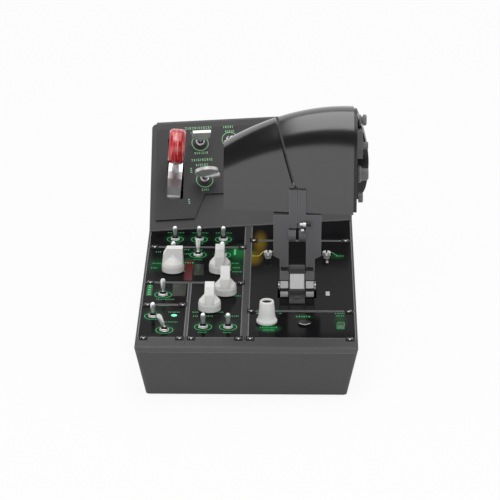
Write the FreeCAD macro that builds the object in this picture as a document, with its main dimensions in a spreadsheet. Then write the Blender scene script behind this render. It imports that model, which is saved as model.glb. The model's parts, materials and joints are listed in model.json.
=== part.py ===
"""A desktop throttle quadrant: a drafted tub with a lit control deck, two throttle levers on one
axle, and a raised, skewed rear console with a gear lever.  Millimetres.  The origin is the centre of
the mounting holes, on the underside of the base plate: +X to the right, +Y to the rear, +Z up."""

import FreeCAD, Part
import Sketcher
import math
import os
import re
import sys

Vector = FreeCAD.Vector
Placement = FreeCAD.Placement
Rotation = FreeCAD.Rotation
X_AXIS, Y_AXIS, Z_AXIS = Vector(1, 0, 0), Vector(0, 1, 0), Vector(0, 0, 1)

# "back" is measured from the front edge of the deck, "up" from the top of the deck frame.
SIZES = [
    ("deck_width", 210, "deck, side to side"),
    ("tub_height", 50, "base plate underside to deck frame top"),
    ("draft", 10, "how far the tub's foot stands in from its top edge, all round"),
    ("setback", 200, "front edge to the centre of the mounting holes"),
    ("tub_wall", 2.8, "tub wall"),
    ("corner_round", 4, "vertical corners of the tub"),
    ("front_chamfer", 4, "chamfer along the front edge"),
    ("rim_depth", 8, "front rim of the tub, front to back"),
    ("seam", 0.5, "open line between parts of the casing"),
    ("deck_thick", 8, "deck frame"),
    ("groove_depth", 1.6, "grooves in the front strip of the deck frame"),
    ("plate_thick", 3, "base plate"),
    ("plate_clear", 0.2, "base plate to tub wall"),
    ("mount_width", 120, "mounting holes, across"),
    ("mount_length", 200, "mounting holes, front to back"),
    ("mount_bore", 2.25, "radius of a mounting hole, clear for M4"),
    ("foot_radius", 8, "rubber foot"),
    ("foot_height", 2, "rubber foot"),
    ("foot_inset", 17, "foot centre to the edge of the base plate"),
    ("post_radius", 4.5, "posts between deck frame and base plate"),
    ("post_screw", 1.5, "screw hole radius in a post"),
    ("panel_thick", 3, "light panel"),
    ("panel_sink", 0.4, "light panel below the deck frame top"),
    ("panel_clear", 0.25, "light panel to its pocket"),
    ("panel_margin", 2, "deck side to panel"),
    ("panel_front", 29, "front edge to the first panels"),
    ("panel_gap", 3, "rib between panels"),
    ("middle_gap", 7, "rib between the left and right panels"),
    ("split_left", -58, "line between the side and centre panels"),
    ("split_middle", -2.2, "line between the left and right panels"),
    ("split_side_back", 109.5, "line behind the front side panel"),
    ("split_mid_back", 167, "line behind the centre panel"),
    ("split_rear_left", 263.3, "line behind the middle left panel"),
    ("split_right_front", 95, "line in front of the throttle panel"),
    ("split_right_rear", 283, "line behind the throttle panel"),
    ("screw_edge", 7.5, "outer panel screws to the deck side"),
    ("screw_front", 27, "front row of panel screws"),
    ("screw_offset", 5.5, "panel screws to a split line"),
    ("well_side", 8.2, "square screw well"),
    ("well_depth", 4, "screw well"),
    ("screw_head_radius", 2.75, "M3 pan head"),
    ("screw_head_height", 1.9, "M3 pan head"),
    ("screw_radius", 1.5, "M3 shank"),
    ("toggle_pitch", 24.7, "toggles in a row"),
    ("toggle_first", -77.3, "first toggle of the two rear rows"),
    ("toggle_rear_back", 286, "rear row"),
    ("toggle_mid_back", 242.5, "middle row"),
    ("toggle_front_back", 55.4, "front pair"),
    ("toggle_front_first", -41.9, "front pair"),
    ("toggle_front_pitch", 23.8, "front pair"),
    ("toggle_side_a_across", -90.8, "side toggle"),
    ("toggle_side_a_back", 81.1, "side toggle"),
    ("toggle_side_b_across", -78.5, "side toggle that leans left"),
    ("toggle_side_b_back", 47.3, "side toggle that leans left"),
    ("toggle_side_c_across", -83.5, "side toggle"),
    ("toggle_side_c_back", 135.7, "side toggle"),
    ("toggle_lean", 22, "degrees from upright at each throw"),
    ("toggle_pivot_up", 2.2, "toggle pivot above the deck frame top"),
    ("toggle_length", 14.5, "pivot to the tip of the bat"),
    ("toggle_tip", 2.7, "radius of the bat at its tip"),
    ("toggle_stem", 1.25, "radius of the bat at its neck"),
    ("ball_radius", 2.2, "toggle ball"),
    ("ball_clear", 0.35, "ball to bushing bore"),
    ("bushing_radius", 3.2, "threaded bushing"),
    ("bushing_up", 3.8, "bushing above the deck frame top"),
    ("bushing_clear", 0.1, "bushing to its hole"),
    ("case_width", 12, "toggle switch case"),
    ("case_depth", 7, "toggle switch case"),
    ("case_height", 10, "toggle switch case"),
    ("knob_radius", 11, "pointer knob skirt"),
    ("knob_skirt", 10.5, "pointer knob skirt height"),
    ("knob_height", 25, "pointer knob"),
    ("fin_width", 9, "pointer knob fin"),
    ("knob_lift", 0.6, "knob above the deck frame top"),
    ("knob_a_across", -76.3, "pointer knob"),
    ("knob_a_back", 198.7, "pointer knob"),
    ("knob_b_across", -29.3, "pointer knob"),
    ("knob_b_back", 198.7, "pointer knob"),
    ("knob_c_across", -22.6, "pointer knob"),
    ("knob_c_back", 139.9, "pointer knob"),
    ("knob_d_across", -36.9, "pointer knob"),
    ("knob_d_back", 98.6, "pointer knob"),
    ("bell_across", 18.7, "bell knob"),
    ("bell_back", 66.4, "bell knob"),
    ("bell_flange", 10, "bell knob flange radius"),
    ("bell_height", 22.7, "bell knob"),
    ("spindle_radius", 3, "knob spindle"),
    ("spindle_clear", 0.05, "spindle to bush"),
    ("spindle_length", 11, "spindle below the deck frame top"),
    ("bush_radius", 4.5, "encoder bush"),
    ("detent_radius", 4.15, "detent knob"),
    ("detent_height", 7.5, "detent knob"),
    ("detent_back", 233.4, "detent knobs"),
    ("detent_left_across", 18.4, "detent knob"),
    ("detent_right_across", 77.5, "detent knob"),
    ("detent_spindle", 1.5, "detent knob spindle"),
    ("button_across", 54.8, "push button"),
    ("button_back", 63.9, "push button"),
    ("button_radius", 6.5, "push button"),
    ("button_up", 1.4, "button above the deck frame top"),
    ("button_travel", 1.2, "push button"),
    ("button_clear", 0.35, "button to its hole"),
    ("wheel_from_side", 15.8, "thumbwheel to the deck side"),
    ("wheel_across", "=deck_width / 2 - wheel_from_side", "thumbwheel"),
    ("wheel_back", 61.5, "thumbwheel"),
    ("wheel_radius", 12, "thumbwheel"),
    ("wheel_width", 8.2, "thumbwheel"),
    ("wheel_drop", 9.5, "thumbwheel axle below the deck frame top"),
    ("wheel_pin", 2, "thumbwheel axle radius"),
    ("wheel_slot_width", 9.2, "thumbwheel slot"),
    ("wheel_slot_length", 21.6, "thumbwheel slot in the panel"),
    ("wheel_room", 26, "thumbwheel room in the deck frame, front to back"),
    ("pivot_across", 47.6, "middle of the throttle axle"),
    ("pivot_back", 152, "throttle axle"),
    ("pivot_up", 2, "throttle axle"),
    ("axle_radius", 4, "throttle axle"),
    ("axle_clear", 0.05, "hub bore to axle"),
    ("hub_radius", 22, "throttle hub"),
    ("hub_width", 8.8, "throttle hub"),
    ("hub_gap", 0.7, "hub to pivot block"),
    ("block_width", 14.8, "pivot block"),
    ("slot_clear", 0.7, "throttle slot round the hubs"),
    ("cap_length", 1.4, "axle cap"),
    ("arm_front", 150, "front of the arms"),
    ("arm_depth", 15, "arms, front to back"),
    ("leg_width", 14.7, "outer leg of an arm"),
    ("leg_offset", 8.6, "inner side of a leg to the middle"),
    ("neck_width", 7.7, "neck of an arm"),
    ("neck_gap", 1.0, "between the two necks"),
    ("leg_top", 64.8, "underside of the shoulder"),
    ("shoulder_top", 78.0, "top of the shoulder"),
    ("neck_top", 103.5, "top of the neck"),
    ("leg_foot", 12, "foot of the leg"),
    ("roller_radius", 7, "detent roller"),
    ("roller_up", 56.5, "detent roller"),
    ("grip_left", -24.5, "left end of the left grip"),
    ("grip_right", 102, "right end of the right grip"),
    ("grip_wall", 2.6, "wall of the grips"),
    ("grip_gap", 3.4, "open line between the grips"),
    ("grip_split_top", 25.6, "split line, across, at the top"),
    ("grip_split_foot", 44.4, "split line, across, just above the necks"),
    ("grip_split_low", 46.4, "split line, across, between the necks"),
    ("grip_split_top_reach", 172, "axle to the top of the split line"),
    ("grip_split_low_reach", 104, "axle to where the split line starts to lean"),
    ("grip_front_left", 158, "front of the grips, at the left end"),
    ("grip_front_right", 150, "front of the grips, at the right end"),
    ("grip_deep_left", 55, "grips, front to back, at the left end"),
    ("grip_deep_right", 75, "grips, front to back, at the right end"),
    ("grip_foot_left", 80.8, "underside of the grips, at the left end"),
    ("grip_foot_right", 78.5, "underside of the grips, at the right end"),
    ("grip_crown_left", 32, "height of the rounded crown, at the left end"),
    ("grip_crown_right", 50, "height of the rounded crown, at the right end"),
    ("grip_top_left", 140.7, "top of the grips, at the left end"),
    ("grip_top_rise", 77, "rise of the top line along the grips"),
    ("grip_top_fall", 41.5, "bend of the top line along the grips"),
    ("thumb_plate", 3.2, "plate on the right end of the grip"),
    ("thumb_inset", 2, "grip outline to the thumb plate"),
    ("guard_bulge", 12.2, "bulge of the thumb guard"),
    ("guard_back", 196, "front of the thumb guard"),
    ("guard_depth", 22, "thumb guard, front to back"),
    ("guard_low", 78, "foot of the thumb guard"),
    ("guard_high", 166, "top of the thumb guard"),
    ("hat_back", 186, "thumb hat"),
    ("hat_up", 164, "thumb hat"),
    ("slider_back", 182, "thumb slider"),
    ("slider_up", 141, "thumb slider"),
    ("slider_long", 28, "thumb slider, up and down"),
    ("slider_wide", 8, "thumb slider, front to back"),
    ("cone_back", 176, "thumb cone"),
    ("cone_up", 111.5, "thumb cone"),
    ("cage_back", 166, "thumb button"),
    ("cage_up", 91, "thumb button"),
    ("cage_stem", 1.8, "thumb button stem radius"),
    ("cage_clear", 0.3, "thumb button stem to its bore"),
    ("control_lift", 0.3, "thumb controls above their plate"),
    ("console_foot", 327, "console foot line on the centre line, back"),
    ("console_yaw", 9.8, "degrees that the console is turned"),
    ("console_incline", 45, "degrees of the console face"),
    ("console_slope", 122, "console face, up the slope"),
    ("console_ridge", 5, "flat top behind the face"),
    ("console_round", 6, "rounded upper left corner of the console"),
    ("console_wall", 3, "rear housing wall"),
    ("console_gap", 2, "panels to the console foot"),
    ("face_plate", 2.4, "console face plate"),
    ("face_left", 6.3, "housing side to face plate"),
    ("face_low", 10.5, "foot line to face plate, at the left"),
    ("face_high", 37.5, "foot line to face plate, at the right"),
    ("face_step_left", -58.6, "start of the step in the lower edge"),
    ("face_step_right", -44.8, "end of the step in the lower edge"),
    ("face_top", 114.5, "foot line to the top of the face plate"),
    ("face_switch_slope", 98, "upper console switches"),
    ("face_switch_low", 56.2, "lower console switch"),
    ("face_tab_across", -43.6, "tab switch"),
    ("face_disc_across", -43.2, "disc switch"),
    ("face_bat_across", -11.5, "bat switch"),
    ("side_bat", 16, "small bat beside the disc of its switch"),
    ("side_bat_lean", 62, "degrees that the small bat leans right"),
    ("gear_across", -79.6, "gear lever pivot, across"),
    ("gear_slope", 62, "gear lever pivot, up the slope"),
    ("gear_depth", 46, "gear lever pivot below the face"),
    ("gear_tilt", 10, "degrees that the raised lever stands past the normal"),
    ("gear_side_lean", 4.5, "degrees that the lever leans to the right"),
    ("gear_reach", 87, "pivot to the middle of the gear wheel"),
    ("gear_wheel_radius", 18, "gear wheel"),
    ("gear_wheel_width", 16.5, "gear wheel"),
    ("gear_pin", 2, "gear pivot pin"),
    ("gear_slot_width", 17.4, "gear slot"),
    ("gear_slot_low", 33, "gear slot, from the foot line"),
    ("gear_slot_high", 103, "gear slot, from the foot line"),
    ("shutter_radius", 45, "gear shutter"),
    ("shutter_width", 14.6, "gear shutter"),
    ("shutter_thick", 1.5, "gear shutter"),
    ("shutter_below", 48, "degrees of shutter below the lever"),
    ("shutter_above", 20, "degrees of shutter above the lever"),
    ("board_up", 7, "circuit board above the base plate"),
    ("board_thick", 1.6, "circuit board"),
    ("board_width", 110, "circuit board"),
    ("board_length", 150, "circuit board"),
]
NAMES = {name for name, value, note in SIZES}

document = FreeCAD.newDocument("ThrottleQuadrant")
sheet = document.addObject("Spreadsheet::Sheet", "Dims")
for row, (name, value, note) in enumerate(SIZES, 1):
    sheet.set(f"A{row}", name)
    sheet.set(f"B{row}", str(value))
    sheet.set(f"C{row}", note)
    sheet.setAlias(f"B{row}", name)
document.recompute()

PARTS = []


# ---------------------------------------------------------------- the sheet and the objects

def bound(text):
    """An expression on the sheet's names, as the objects read it."""
    return re.sub(r"[a-z][a-z_]*", lambda m: "Dims." + m.group() if m.group() in NAMES else m.group(), str(text))


def num(text):
    """The present value of an expression."""
    result = sheet.evalExpression(bound(text))
    return float(getattr(result, "Value", result))


def moved(frame, x=0, y=0, z=0, turn=None):
    """A frame at x, y, z of another frame, turned by a rotation."""
    return frame.multiply(Placement(Vector(num(x), num(y), num(z)), turn or Rotation()))


def part(obj, label):
    """Marks an object as a sub-part that gets its own file."""
    obj.Label = label
    PARTS.append(obj)
    return obj


def named(kind, label):
    """A new object with a plain internal name."""
    return document.addObject(kind, re.sub(r"\W", "_", label))


def block(label, frame, x, y, z, length, width, height):
    """A box from its lowest corner."""
    box = named("Part::Box", label)
    for prop, size in (("Length", length), ("Width", width), ("Height", height)):
        box.setExpression(prop, bound(size))
    box.Placement = moved(frame, x, y, z)
    return box


def rod(label, frame, x, y, z, radius, height, turn=None):
    """A cylinder along the frame's Z, or turned."""
    cylinder = named("Part::Cylinder", label)
    cylinder.setExpression("Radius", bound(radius))
    cylinder.setExpression("Height", bound(height))
    cylinder.Placement = moved(frame, x, y, z, turn)
    return cylinder


def joined(label, pieces):
    """A union of objects."""
    union = named("Part::MultiFuse", label)
    union.Shapes = pieces
    return union


def group(label, pieces):
    """Separate solids kept in one object."""
    bunch = named("Part::Compound", label)
    bunch.Links = pieces
    return bunch


def cut(label, base, tool):
    """One object less another."""
    result = named("Part::Cut", label)
    result.Base = base
    result.Tool = tool
    return result


def common(label, *pieces):
    """What objects share."""
    result = named("Part::MultiCommon", label)
    result.Shapes = list(pieces)
    return result


def outline(body, role, corners, offset="0", circles=()):
    """A closed sketch of straight lines, with round holes, held by the sheet."""
    sketch = body.newObject("Sketcher::SketchObject", body.Name + "_outline")
    sketch.AttachmentSupport = [(next(f for f in body.Origin.OriginFeatures if f.Role == role), "")]
    sketch.MapMode = "FlatFace"
    sketch.setExpression("AttachmentOffset.Base.z", bound(offset))

    def hold(geometry, point, kind, value):
        index = sketch.addConstraint(Sketcher.Constraint(kind, -1, 1, geometry, point, num(value)))
        sketch.setExpression(f"Constraints[{index}]", bound(value))

    points = [Vector(num(x), num(y), 0) for x, y in corners]
    count = len(points)
    for i in range(count):
        sketch.addGeometry(Part.LineSegment(points[i], points[(i + 1) % count]), False)
    for i in range(count):
        sketch.addConstraint(Sketcher.Constraint("Coincident", i, 2, (i + 1) % count, 1))
    for i, (x, y) in enumerate(corners):
        hold(i, 1, "DistanceX", x)
        hold(i, 1, "DistanceY", y)
    for x, y, radius in circles:
        circle = sketch.addGeometry(Part.Circle(Vector(num(x), num(y), 0), Z_AXIS, num(radius)), False)
        hold(circle, 3, "DistanceX", x)
        hold(circle, 3, "DistanceY", y)
        index = sketch.addConstraint(Sketcher.Constraint("Radius", circle, num(radius)))
        sketch.setExpression(f"Constraints[{index}]", bound(radius))
    return sketch


def padded(label, frame, role, corners, start, length, circles=()):
    """A body: an outline on one of its planes, padded along the plane's normal."""
    body = named("PartDesign::Body", label)
    sketch = outline(body, role, corners, start, circles)
    pad = body.newObject("PartDesign::Pad", body.Name + "_pad")
    pad.Profile = sketch
    pad.setExpression("Length", bound(length))
    body.Placement = frame
    return body


def across(label, frame, corners, left, width, circles=()):
    """A body padded along X from a side outline of (back, up) corners."""
    return padded(label, frame, "YZ_Plane", corners, left, width, circles)


def turned(label, frame, corners):
    """A body turned about Z from (radius, up) corners."""
    body = named("PartDesign::Body", label)
    sketch = outline(body, "XZ_Plane", corners)
    turn = body.newObject("PartDesign::Revolution", body.Name + "_turn")
    turn.Profile = sketch
    turn.ReferenceAxis = (sketch, ["V_Axis"])
    turn.Angle = 360
    body.Placement = frame
    return body


def tapered(label, frame, corners, up, depth):
    """A body padded downwards from a level outline, drawn in by the tub's draft."""
    body = named("PartDesign::Body", label)
    sketch = outline(body, "XY_Plane", corners, up)
    pad = body.newObject("PartDesign::Pad", body.Name + "_pad")
    pad.Profile = sketch
    pad.Reversed = True
    pad.setExpression("Length", bound(depth))
    pad.setExpression("TaperAngle", bound("-atan(draft / tub_height)"))
    body.Placement = frame
    return body


# ---------------------------------------------------------------- frames of the main groups

DECK = Placement(Vector(0, -num("setback"), num("tub_height")), Rotation())
YAW = Rotation(Z_AXIS, num("console_yaw"))
CONSOLE_FOOT = moved(DECK, 0, "console_foot", 0, YAW)
CONSOLE = CONSOLE_FOOT.multiply(Placement(Vector(), Rotation(X_AXIS, num("console_incline"))))
AXLE = moved(DECK, "pivot_across", "pivot_back", "pivot_up")
ALONG_X = Rotation(Y_AXIS, 90)


def console_foot_at(x, gap="0"):
    """How far back the console's foot line lies at x, less a gap."""
    return f"console_foot + ({x}) * tan(console_yaw) - ({gap})"


CONSOLE_RUN = "console_slope * cos(console_incline)"
CONSOLE_RISE = "console_slope * sin(console_incline)"


def rear_at(x, inset="0"):
    """How far back the rear wall lies at x, less an inset."""
    return console_foot_at(x, f"{inset} - ({CONSOLE_RUN} + console_ridge) / cos(console_yaw)")


# ---------------------------------------------------------------- tub, deck frame and base plate

def ring(half, front, inset="0"):
    """Four corners of the plan: a straight front and sides, and the skewed rear."""
    return [(f"-({half})", front), (half, front), (half, rear_at(half, inset)),
            (f"-({half})", rear_at(f"-({half})", inset))]


def outer_form():
    """The drafted outer form that the tub and the deck frame share."""
    body = tapered("outer_body", DECK, ring("deck_width / 2", "0"), "0", "tub_height")
    document.recompute()
    uprights = [f"Edge{i}" for i, edge in enumerate(body.Shape.Edges, 1)
                if edge.BoundBox.ZLength > num("tub_height") / 2]
    base = body.Tip
    fillet = body.newObject("PartDesign::Fillet", "corner_fillet")
    fillet.Base = (base, uprights)
    fillet.setExpression("Radius", bound("corner_round"))
    bevel = across("front_bevel", DECK, [("-2", "-front_chamfer - 2"), ("front_chamfer + 2", "2"), ("-2", "2")],
                   "-deck_width", "2 * deck_width")
    return cut("outer_form", body, bevel)


def tub(form):
    """The open tub: drafted walls, a front rim as deep as the deck frame, and side walls that carry it."""
    room = tapered("tub_room", DECK, ring("deck_width / 2 - tub_wall", "tub_wall", "tub_wall"), "0",
                   "tub_height + 1")
    rim = block("tub_rim", DECK, "-deck_width", "-1", "-deck_thick", "2 * deck_width", "rim_depth + 1",
                "2 * deck_thick")
    step = block("tub_step", DECK, "-deck_width", "rim_depth", "-deck_thick", "2 * deck_width", "3 * deck_width",
                 "2 * deck_thick")
    return part(cut("base_tub", cut("tub_stepped", form, step), cut("tub_cavity", room, rim)), "base_tub")


PANEL_LEFT = "-deck_width / 2 + panel_margin"
PANEL_RIGHT = "deck_width / 2 - panel_margin"


def between(split, side, gap="panel_gap"):
    """The edge of a panel beside a split line: side is -1 before the line, +1 past it."""
    return f"{split} + ({side}) * {gap} / 2"


MIDDLE_LEFT = between("split_middle", -1, "middle_gap")
MIDDLE_RIGHT = between("split_middle", 1, "middle_gap")
# name: left, right, front, back (None where the panel ends at the console foot)
PANELS = {
    "panel_rear_left": (PANEL_LEFT, MIDDLE_LEFT, between("split_rear_left", 1), None),
    "panel_mid_left": (PANEL_LEFT, MIDDLE_LEFT, between("split_mid_back", 1), between("split_rear_left", -1)),
    "panel_side": (PANEL_LEFT, between("split_left", -1), between("split_side_back", 1),
                   between("split_mid_back", -1)),
    "panel_front_left": (PANEL_LEFT, between("split_left", -1), "panel_front", between("split_side_back", -1)),
    "panel_centre": (between("split_left", 1), MIDDLE_LEFT, "panel_front", between("split_mid_back", -1)),
    "panel_front_right": (MIDDLE_RIGHT, PANEL_RIGHT, "panel_front", between("split_right_front", -1)),
    "panel_throttle": (MIDDLE_RIGHT, PANEL_RIGHT, between("split_right_front", 1),
                       between("split_right_rear", -1)),
    "panel_rear_right": (MIDDLE_RIGHT, PANEL_RIGHT, between("split_right_rear", 1), None),
}


def panel_corners(name, grow="0"):
    """The outline of a panel, or of its pocket."""
    left, right, front, back = PANELS[name]
    left, right, front = f"{left} - {grow}", f"{right} + {grow}", f"{front} - {grow}"
    if back is None:
        back_left, back_right = (console_foot_at(side, f"console_gap - {grow}") for side in (left, right))
    else:
        back_left = back_right = f"{back} + {grow}"
    return [(left, front), (right, front), (right, back_right), (left, back_left)]


def screw_places():
    """Every panel screw: (across, back)."""
    left, right = "-deck_width / 2 + screw_edge", "deck_width / 2 - screw_edge"
    before_left, past_left = "split_left - screw_offset", "split_left + screw_offset"
    before_middle, past_middle = "split_middle - screw_offset", "split_middle + screw_offset"
    front = [(x, "screw_front") for x in (left, before_left, past_left, before_middle, past_middle, right)]
    pairs = [(past_middle, right, "split_right_front"), (past_middle, right, "split_right_rear"),
             (left, before_middle, "split_rear_left"), (left, before_middle, "split_mid_back"),
             (left, before_left, "split_side_back")]
    return front + [(x, back) for first, second, back in pairs for x in (first, second)]


def screw_wells():
    """Square wells round the panel screws."""
    return group("screw_wells", [block(f"well_{i}", DECK, f"{x} - well_side / 2", f"{back} - well_side / 2",
                                       "-well_depth", "well_side", "well_side", "2 * well_depth")
                                 for i, (x, back) in enumerate(screw_places(), 1)])


def panel_screws():
    """Pan-head screws through the wells into the deck frame."""
    profile = [("0", "-deck_thick"), ("screw_radius", "-deck_thick"), ("screw_radius", "-well_depth"),
               ("screw_head_radius", "-well_depth"), ("screw_head_radius", "-well_depth + 0.55 * screw_head_height"),
               ("0.7 * screw_head_radius", "-well_depth + screw_head_height"),
               ("0", "-well_depth + screw_head_height")]
    return part(group("panel_screws", [turned(f"screw_{i}", moved(DECK, x, back), profile)
                                       for i, (x, back) in enumerate(screw_places(), 1)]), "panel_screws")


# ---------------------------------------------------------------- controls on the deck

LEAN, BACKWARD = "toggle_lean", "-toggle_lean"
# name: across, back, lean about X (positive towards the front), lean about Y (positive to the right)
TOGGLES = {}
for column, lean in enumerate((LEAN, LEAN, LEAN)):
    TOGGLES[f"toggle_rear_{column + 1}"] = (f"toggle_first + {column} * toggle_pitch", "toggle_rear_back", lean, "0")
for column, lean in enumerate((LEAN, BACKWARD, LEAN)):
    TOGGLES[f"toggle_mid_{column + 1}"] = (f"toggle_first + {column} * toggle_pitch", "toggle_mid_back", lean, "0")
for column in range(2):
    TOGGLES[f"toggle_front_{column + 1}"] = (f"toggle_front_first + {column} * toggle_front_pitch",
                                             "toggle_front_back", LEAN, "0")
TOGGLES["toggle_side_1"] = ("toggle_side_a_across", "toggle_side_a_back", LEAN, "0")
TOGGLES["toggle_side_2"] = ("toggle_side_b_across", "toggle_side_b_back", "0", BACKWARD)
TOGGLES["toggle_side_3"] = ("toggle_side_c_across", "toggle_side_c_back", "0", "0")

KNOBS = {
    "knob_1": ("knob_a_across", "knob_a_back", 0),
    "knob_2": ("knob_b_across", "knob_b_back", 90),
    "knob_3": ("knob_c_across", "knob_c_back", 90),
    "knob_4": ("knob_d_across", "knob_d_back", 90),
}
ENCODERS = [(x, back) for x, back, turn in KNOBS.values()] + [("bell_across", "bell_back")]


def lever(label, frame, lean_x, lean_y, pivot_up="toggle_pivot_up"):
    """A bat lever on its ball, leaning from its pivot."""
    turn = Rotation(Y_AXIS, num(lean_y)).multiply(Rotation(X_AXIS, num(lean_x)))
    return turned(label, moved(frame, 0, 0, pivot_up, turn), [
        ("0", "-ball_radius"), ("0.7 * ball_radius", "-0.7 * ball_radius"), ("ball_radius", "0"),
        ("0.8 * ball_radius", "0.6 * ball_radius"), ("toggle_stem", "1.2 * ball_radius"),
        ("toggle_stem", "0.3 * toggle_length"), ("toggle_tip", "toggle_length - 1.4 * toggle_tip"),
        ("toggle_tip", "toggle_length - 0.6 * toggle_tip"), ("0.7 * toggle_tip", "toggle_length - 0.15 * toggle_tip"),
        ("0", "toggle_length")])


def switch_case(label, frame, top_up="bushing_up", under="deck_thick"):
    """A switch case under its plate, with the bushing that carries a lever."""
    bushing = turned(label + "_bushing", frame, [
        ("0", f"-({under})"), ("bushing_radius", f"-({under})"), ("bushing_radius", top_up),
        ("ball_radius + ball_clear", top_up), ("ball_radius + ball_clear", f"{top_up} - 4.6"),
        ("0", f"{top_up} - 4.6")])
    case = block(label + "_box", frame, "-case_width / 2", "-case_depth / 2", f"-({under}) - case_height",
                 "case_width", "case_depth", "case_height")
    return joined(label, [bushing, case])


def pointer_knob(label, x, back, turn):
    """A round skirt with a fin across it; one end of the fin slopes."""
    frame = moved(DECK, x, back, 0, Rotation(Z_AXIS, turn))
    skirt = turned(label + "_skirt", frame, [
        ("0", "-spindle_length"), ("spindle_radius", "-spindle_length"), ("spindle_radius", "knob_lift"),
        ("knob_radius", "knob_lift"), ("knob_radius", "knob_lift + 0.55 * knob_skirt"),
        ("0.93 * knob_radius", "knob_lift + 0.85 * knob_skirt"), ("0.72 * knob_radius", "knob_lift + 1.12 * knob_skirt"),
        ("0.5 * knob_radius", "knob_lift + 1.4 * knob_skirt"), ("0.4 * knob_radius", "knob_lift + 1.75 * knob_skirt"),
        ("0", "knob_lift + 1.75 * knob_skirt")])
    side = [("-0.97 * knob_radius", "knob_lift + 0.7 * knob_skirt"), ("0.97 * knob_radius", "knob_lift + 0.7 * knob_skirt"),
            ("0.9 * knob_radius", "knob_height"), ("-0.5 * knob_radius", "knob_height"),
            ("-0.86 * knob_radius", "0.72 * knob_height")]
    body = padded(label + "_fin", frame, "XZ_Plane", side, "-fin_width / 2", "fin_width")
    keep = rod(label + "_round", frame, 0, 0, 0, "0.97 * knob_radius", "knob_height")
    return part(joined(label, [skirt, common(label + "_fin_round", body, keep)]), label)


def bell_knob():
    """A waisted white knob with a hollow top."""
    frame = moved(DECK, "bell_across", "bell_back")
    return part(turned("knob_bell", frame, [
        ("0", "-spindle_length"), ("spindle_radius", "-spindle_length"), ("spindle_radius", "knob_lift"),
        ("bell_flange", "knob_lift"), ("bell_flange", "knob_lift + 2.6"), ("0.84 * bell_flange", "knob_lift + 4.2"),
        ("0.8 * bell_flange", "0.45 * bell_height"), ("0.62 * bell_flange", "bell_height - 1"),
        ("0.56 * bell_flange", "bell_height"), ("0.42 * bell_flange", "bell_height"),
        ("0.40 * bell_flange", "bell_height - 3.5"), ("0", "bell_height - 3.5")]), "knob_bell")


def encoder_cases():
    """Rotary encoders under the deck, with the bushes that carry the knob spindles."""
    cases = []
    for i, (x, back) in enumerate(ENCODERS, 1):
        frame = moved(DECK, x, back)
        bush = turned(f"encoder_{i}_bush", frame, [
            ("0", "-deck_thick - 6"), ("bush_radius", "-deck_thick - 6"), ("bush_radius", "0"),
            ("spindle_radius + spindle_clear", "0"), ("spindle_radius + spindle_clear", "-spindle_length - 0.4"),
            ("0", "-spindle_length - 0.4")])
        case = block(f"encoder_{i}_box", frame, "-7", "-7", "-deck_thick - 6", "14", "14", "6")
        hole = rod(f"encoder_{i}_hole", frame, 0, 0, "-spindle_length - 0.4", "spindle_radius + spindle_clear",
                   "spindle_length + 0.4")
        cases.append(cut(f"encoder_{i}", joined(f"encoder_{i}_whole", [bush, case]), hole))
    return part(group("encoder_cases", cases), "encoder_cases")


def deck_holes():
    """Everything that passes through the panels and the deck frame."""
    tools = []
    for name, (x, back, lean_x, lean_y) in TOGGLES.items():
        tools.append(rod(f"hole_{name}", moved(DECK, x, back), 0, 0, "-deck_thick - 1", "bushing_radius + bushing_clear",
                         "deck_thick + 3"))
    for i, (x, back) in enumerate(ENCODERS, 1):
        tools.append(rod(f"hole_encoder_{i}", moved(DECK, x, back), 0, 0, "-deck_thick - 1", "bush_radius + bushing_clear",
                         "deck_thick + 3"))
    for side in ("left", "right"):
        tools.append(rod(f"hole_detent_{side}", moved(DECK, f"detent_{side}_across", "detent_back"), 0, 0,
                         "-deck_thick - 1", "detent_spindle + spindle_clear", "deck_thick + 3"))
    tools.append(rod("hole_button", moved(DECK, "button_across", "button_back"), 0, 0, "-deck_thick - 1",
                     "button_radius + button_clear", "deck_thick + 3"))
    tools.append(block("hole_wheel", moved(DECK, "wheel_across", "wheel_back"), "-wheel_slot_width / 2",
                       "-wheel_slot_length / 2", "-panel_thick - 1", "wheel_slot_width", "wheel_slot_length",
                       "panel_thick + 3"))
    half = "block_width / 2 + hub_gap + hub_width + slot_clear + cap_length"
    tools.append(block("hole_throttle", AXLE, f"-({half})", "-hub_radius - slot_clear", "-pivot_up - deck_thick - 1",
                       f"2 * ({half})", "2 * (hub_radius + slot_clear)", "deck_thick + 3"))
    return group("deck_holes", tools)


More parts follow.
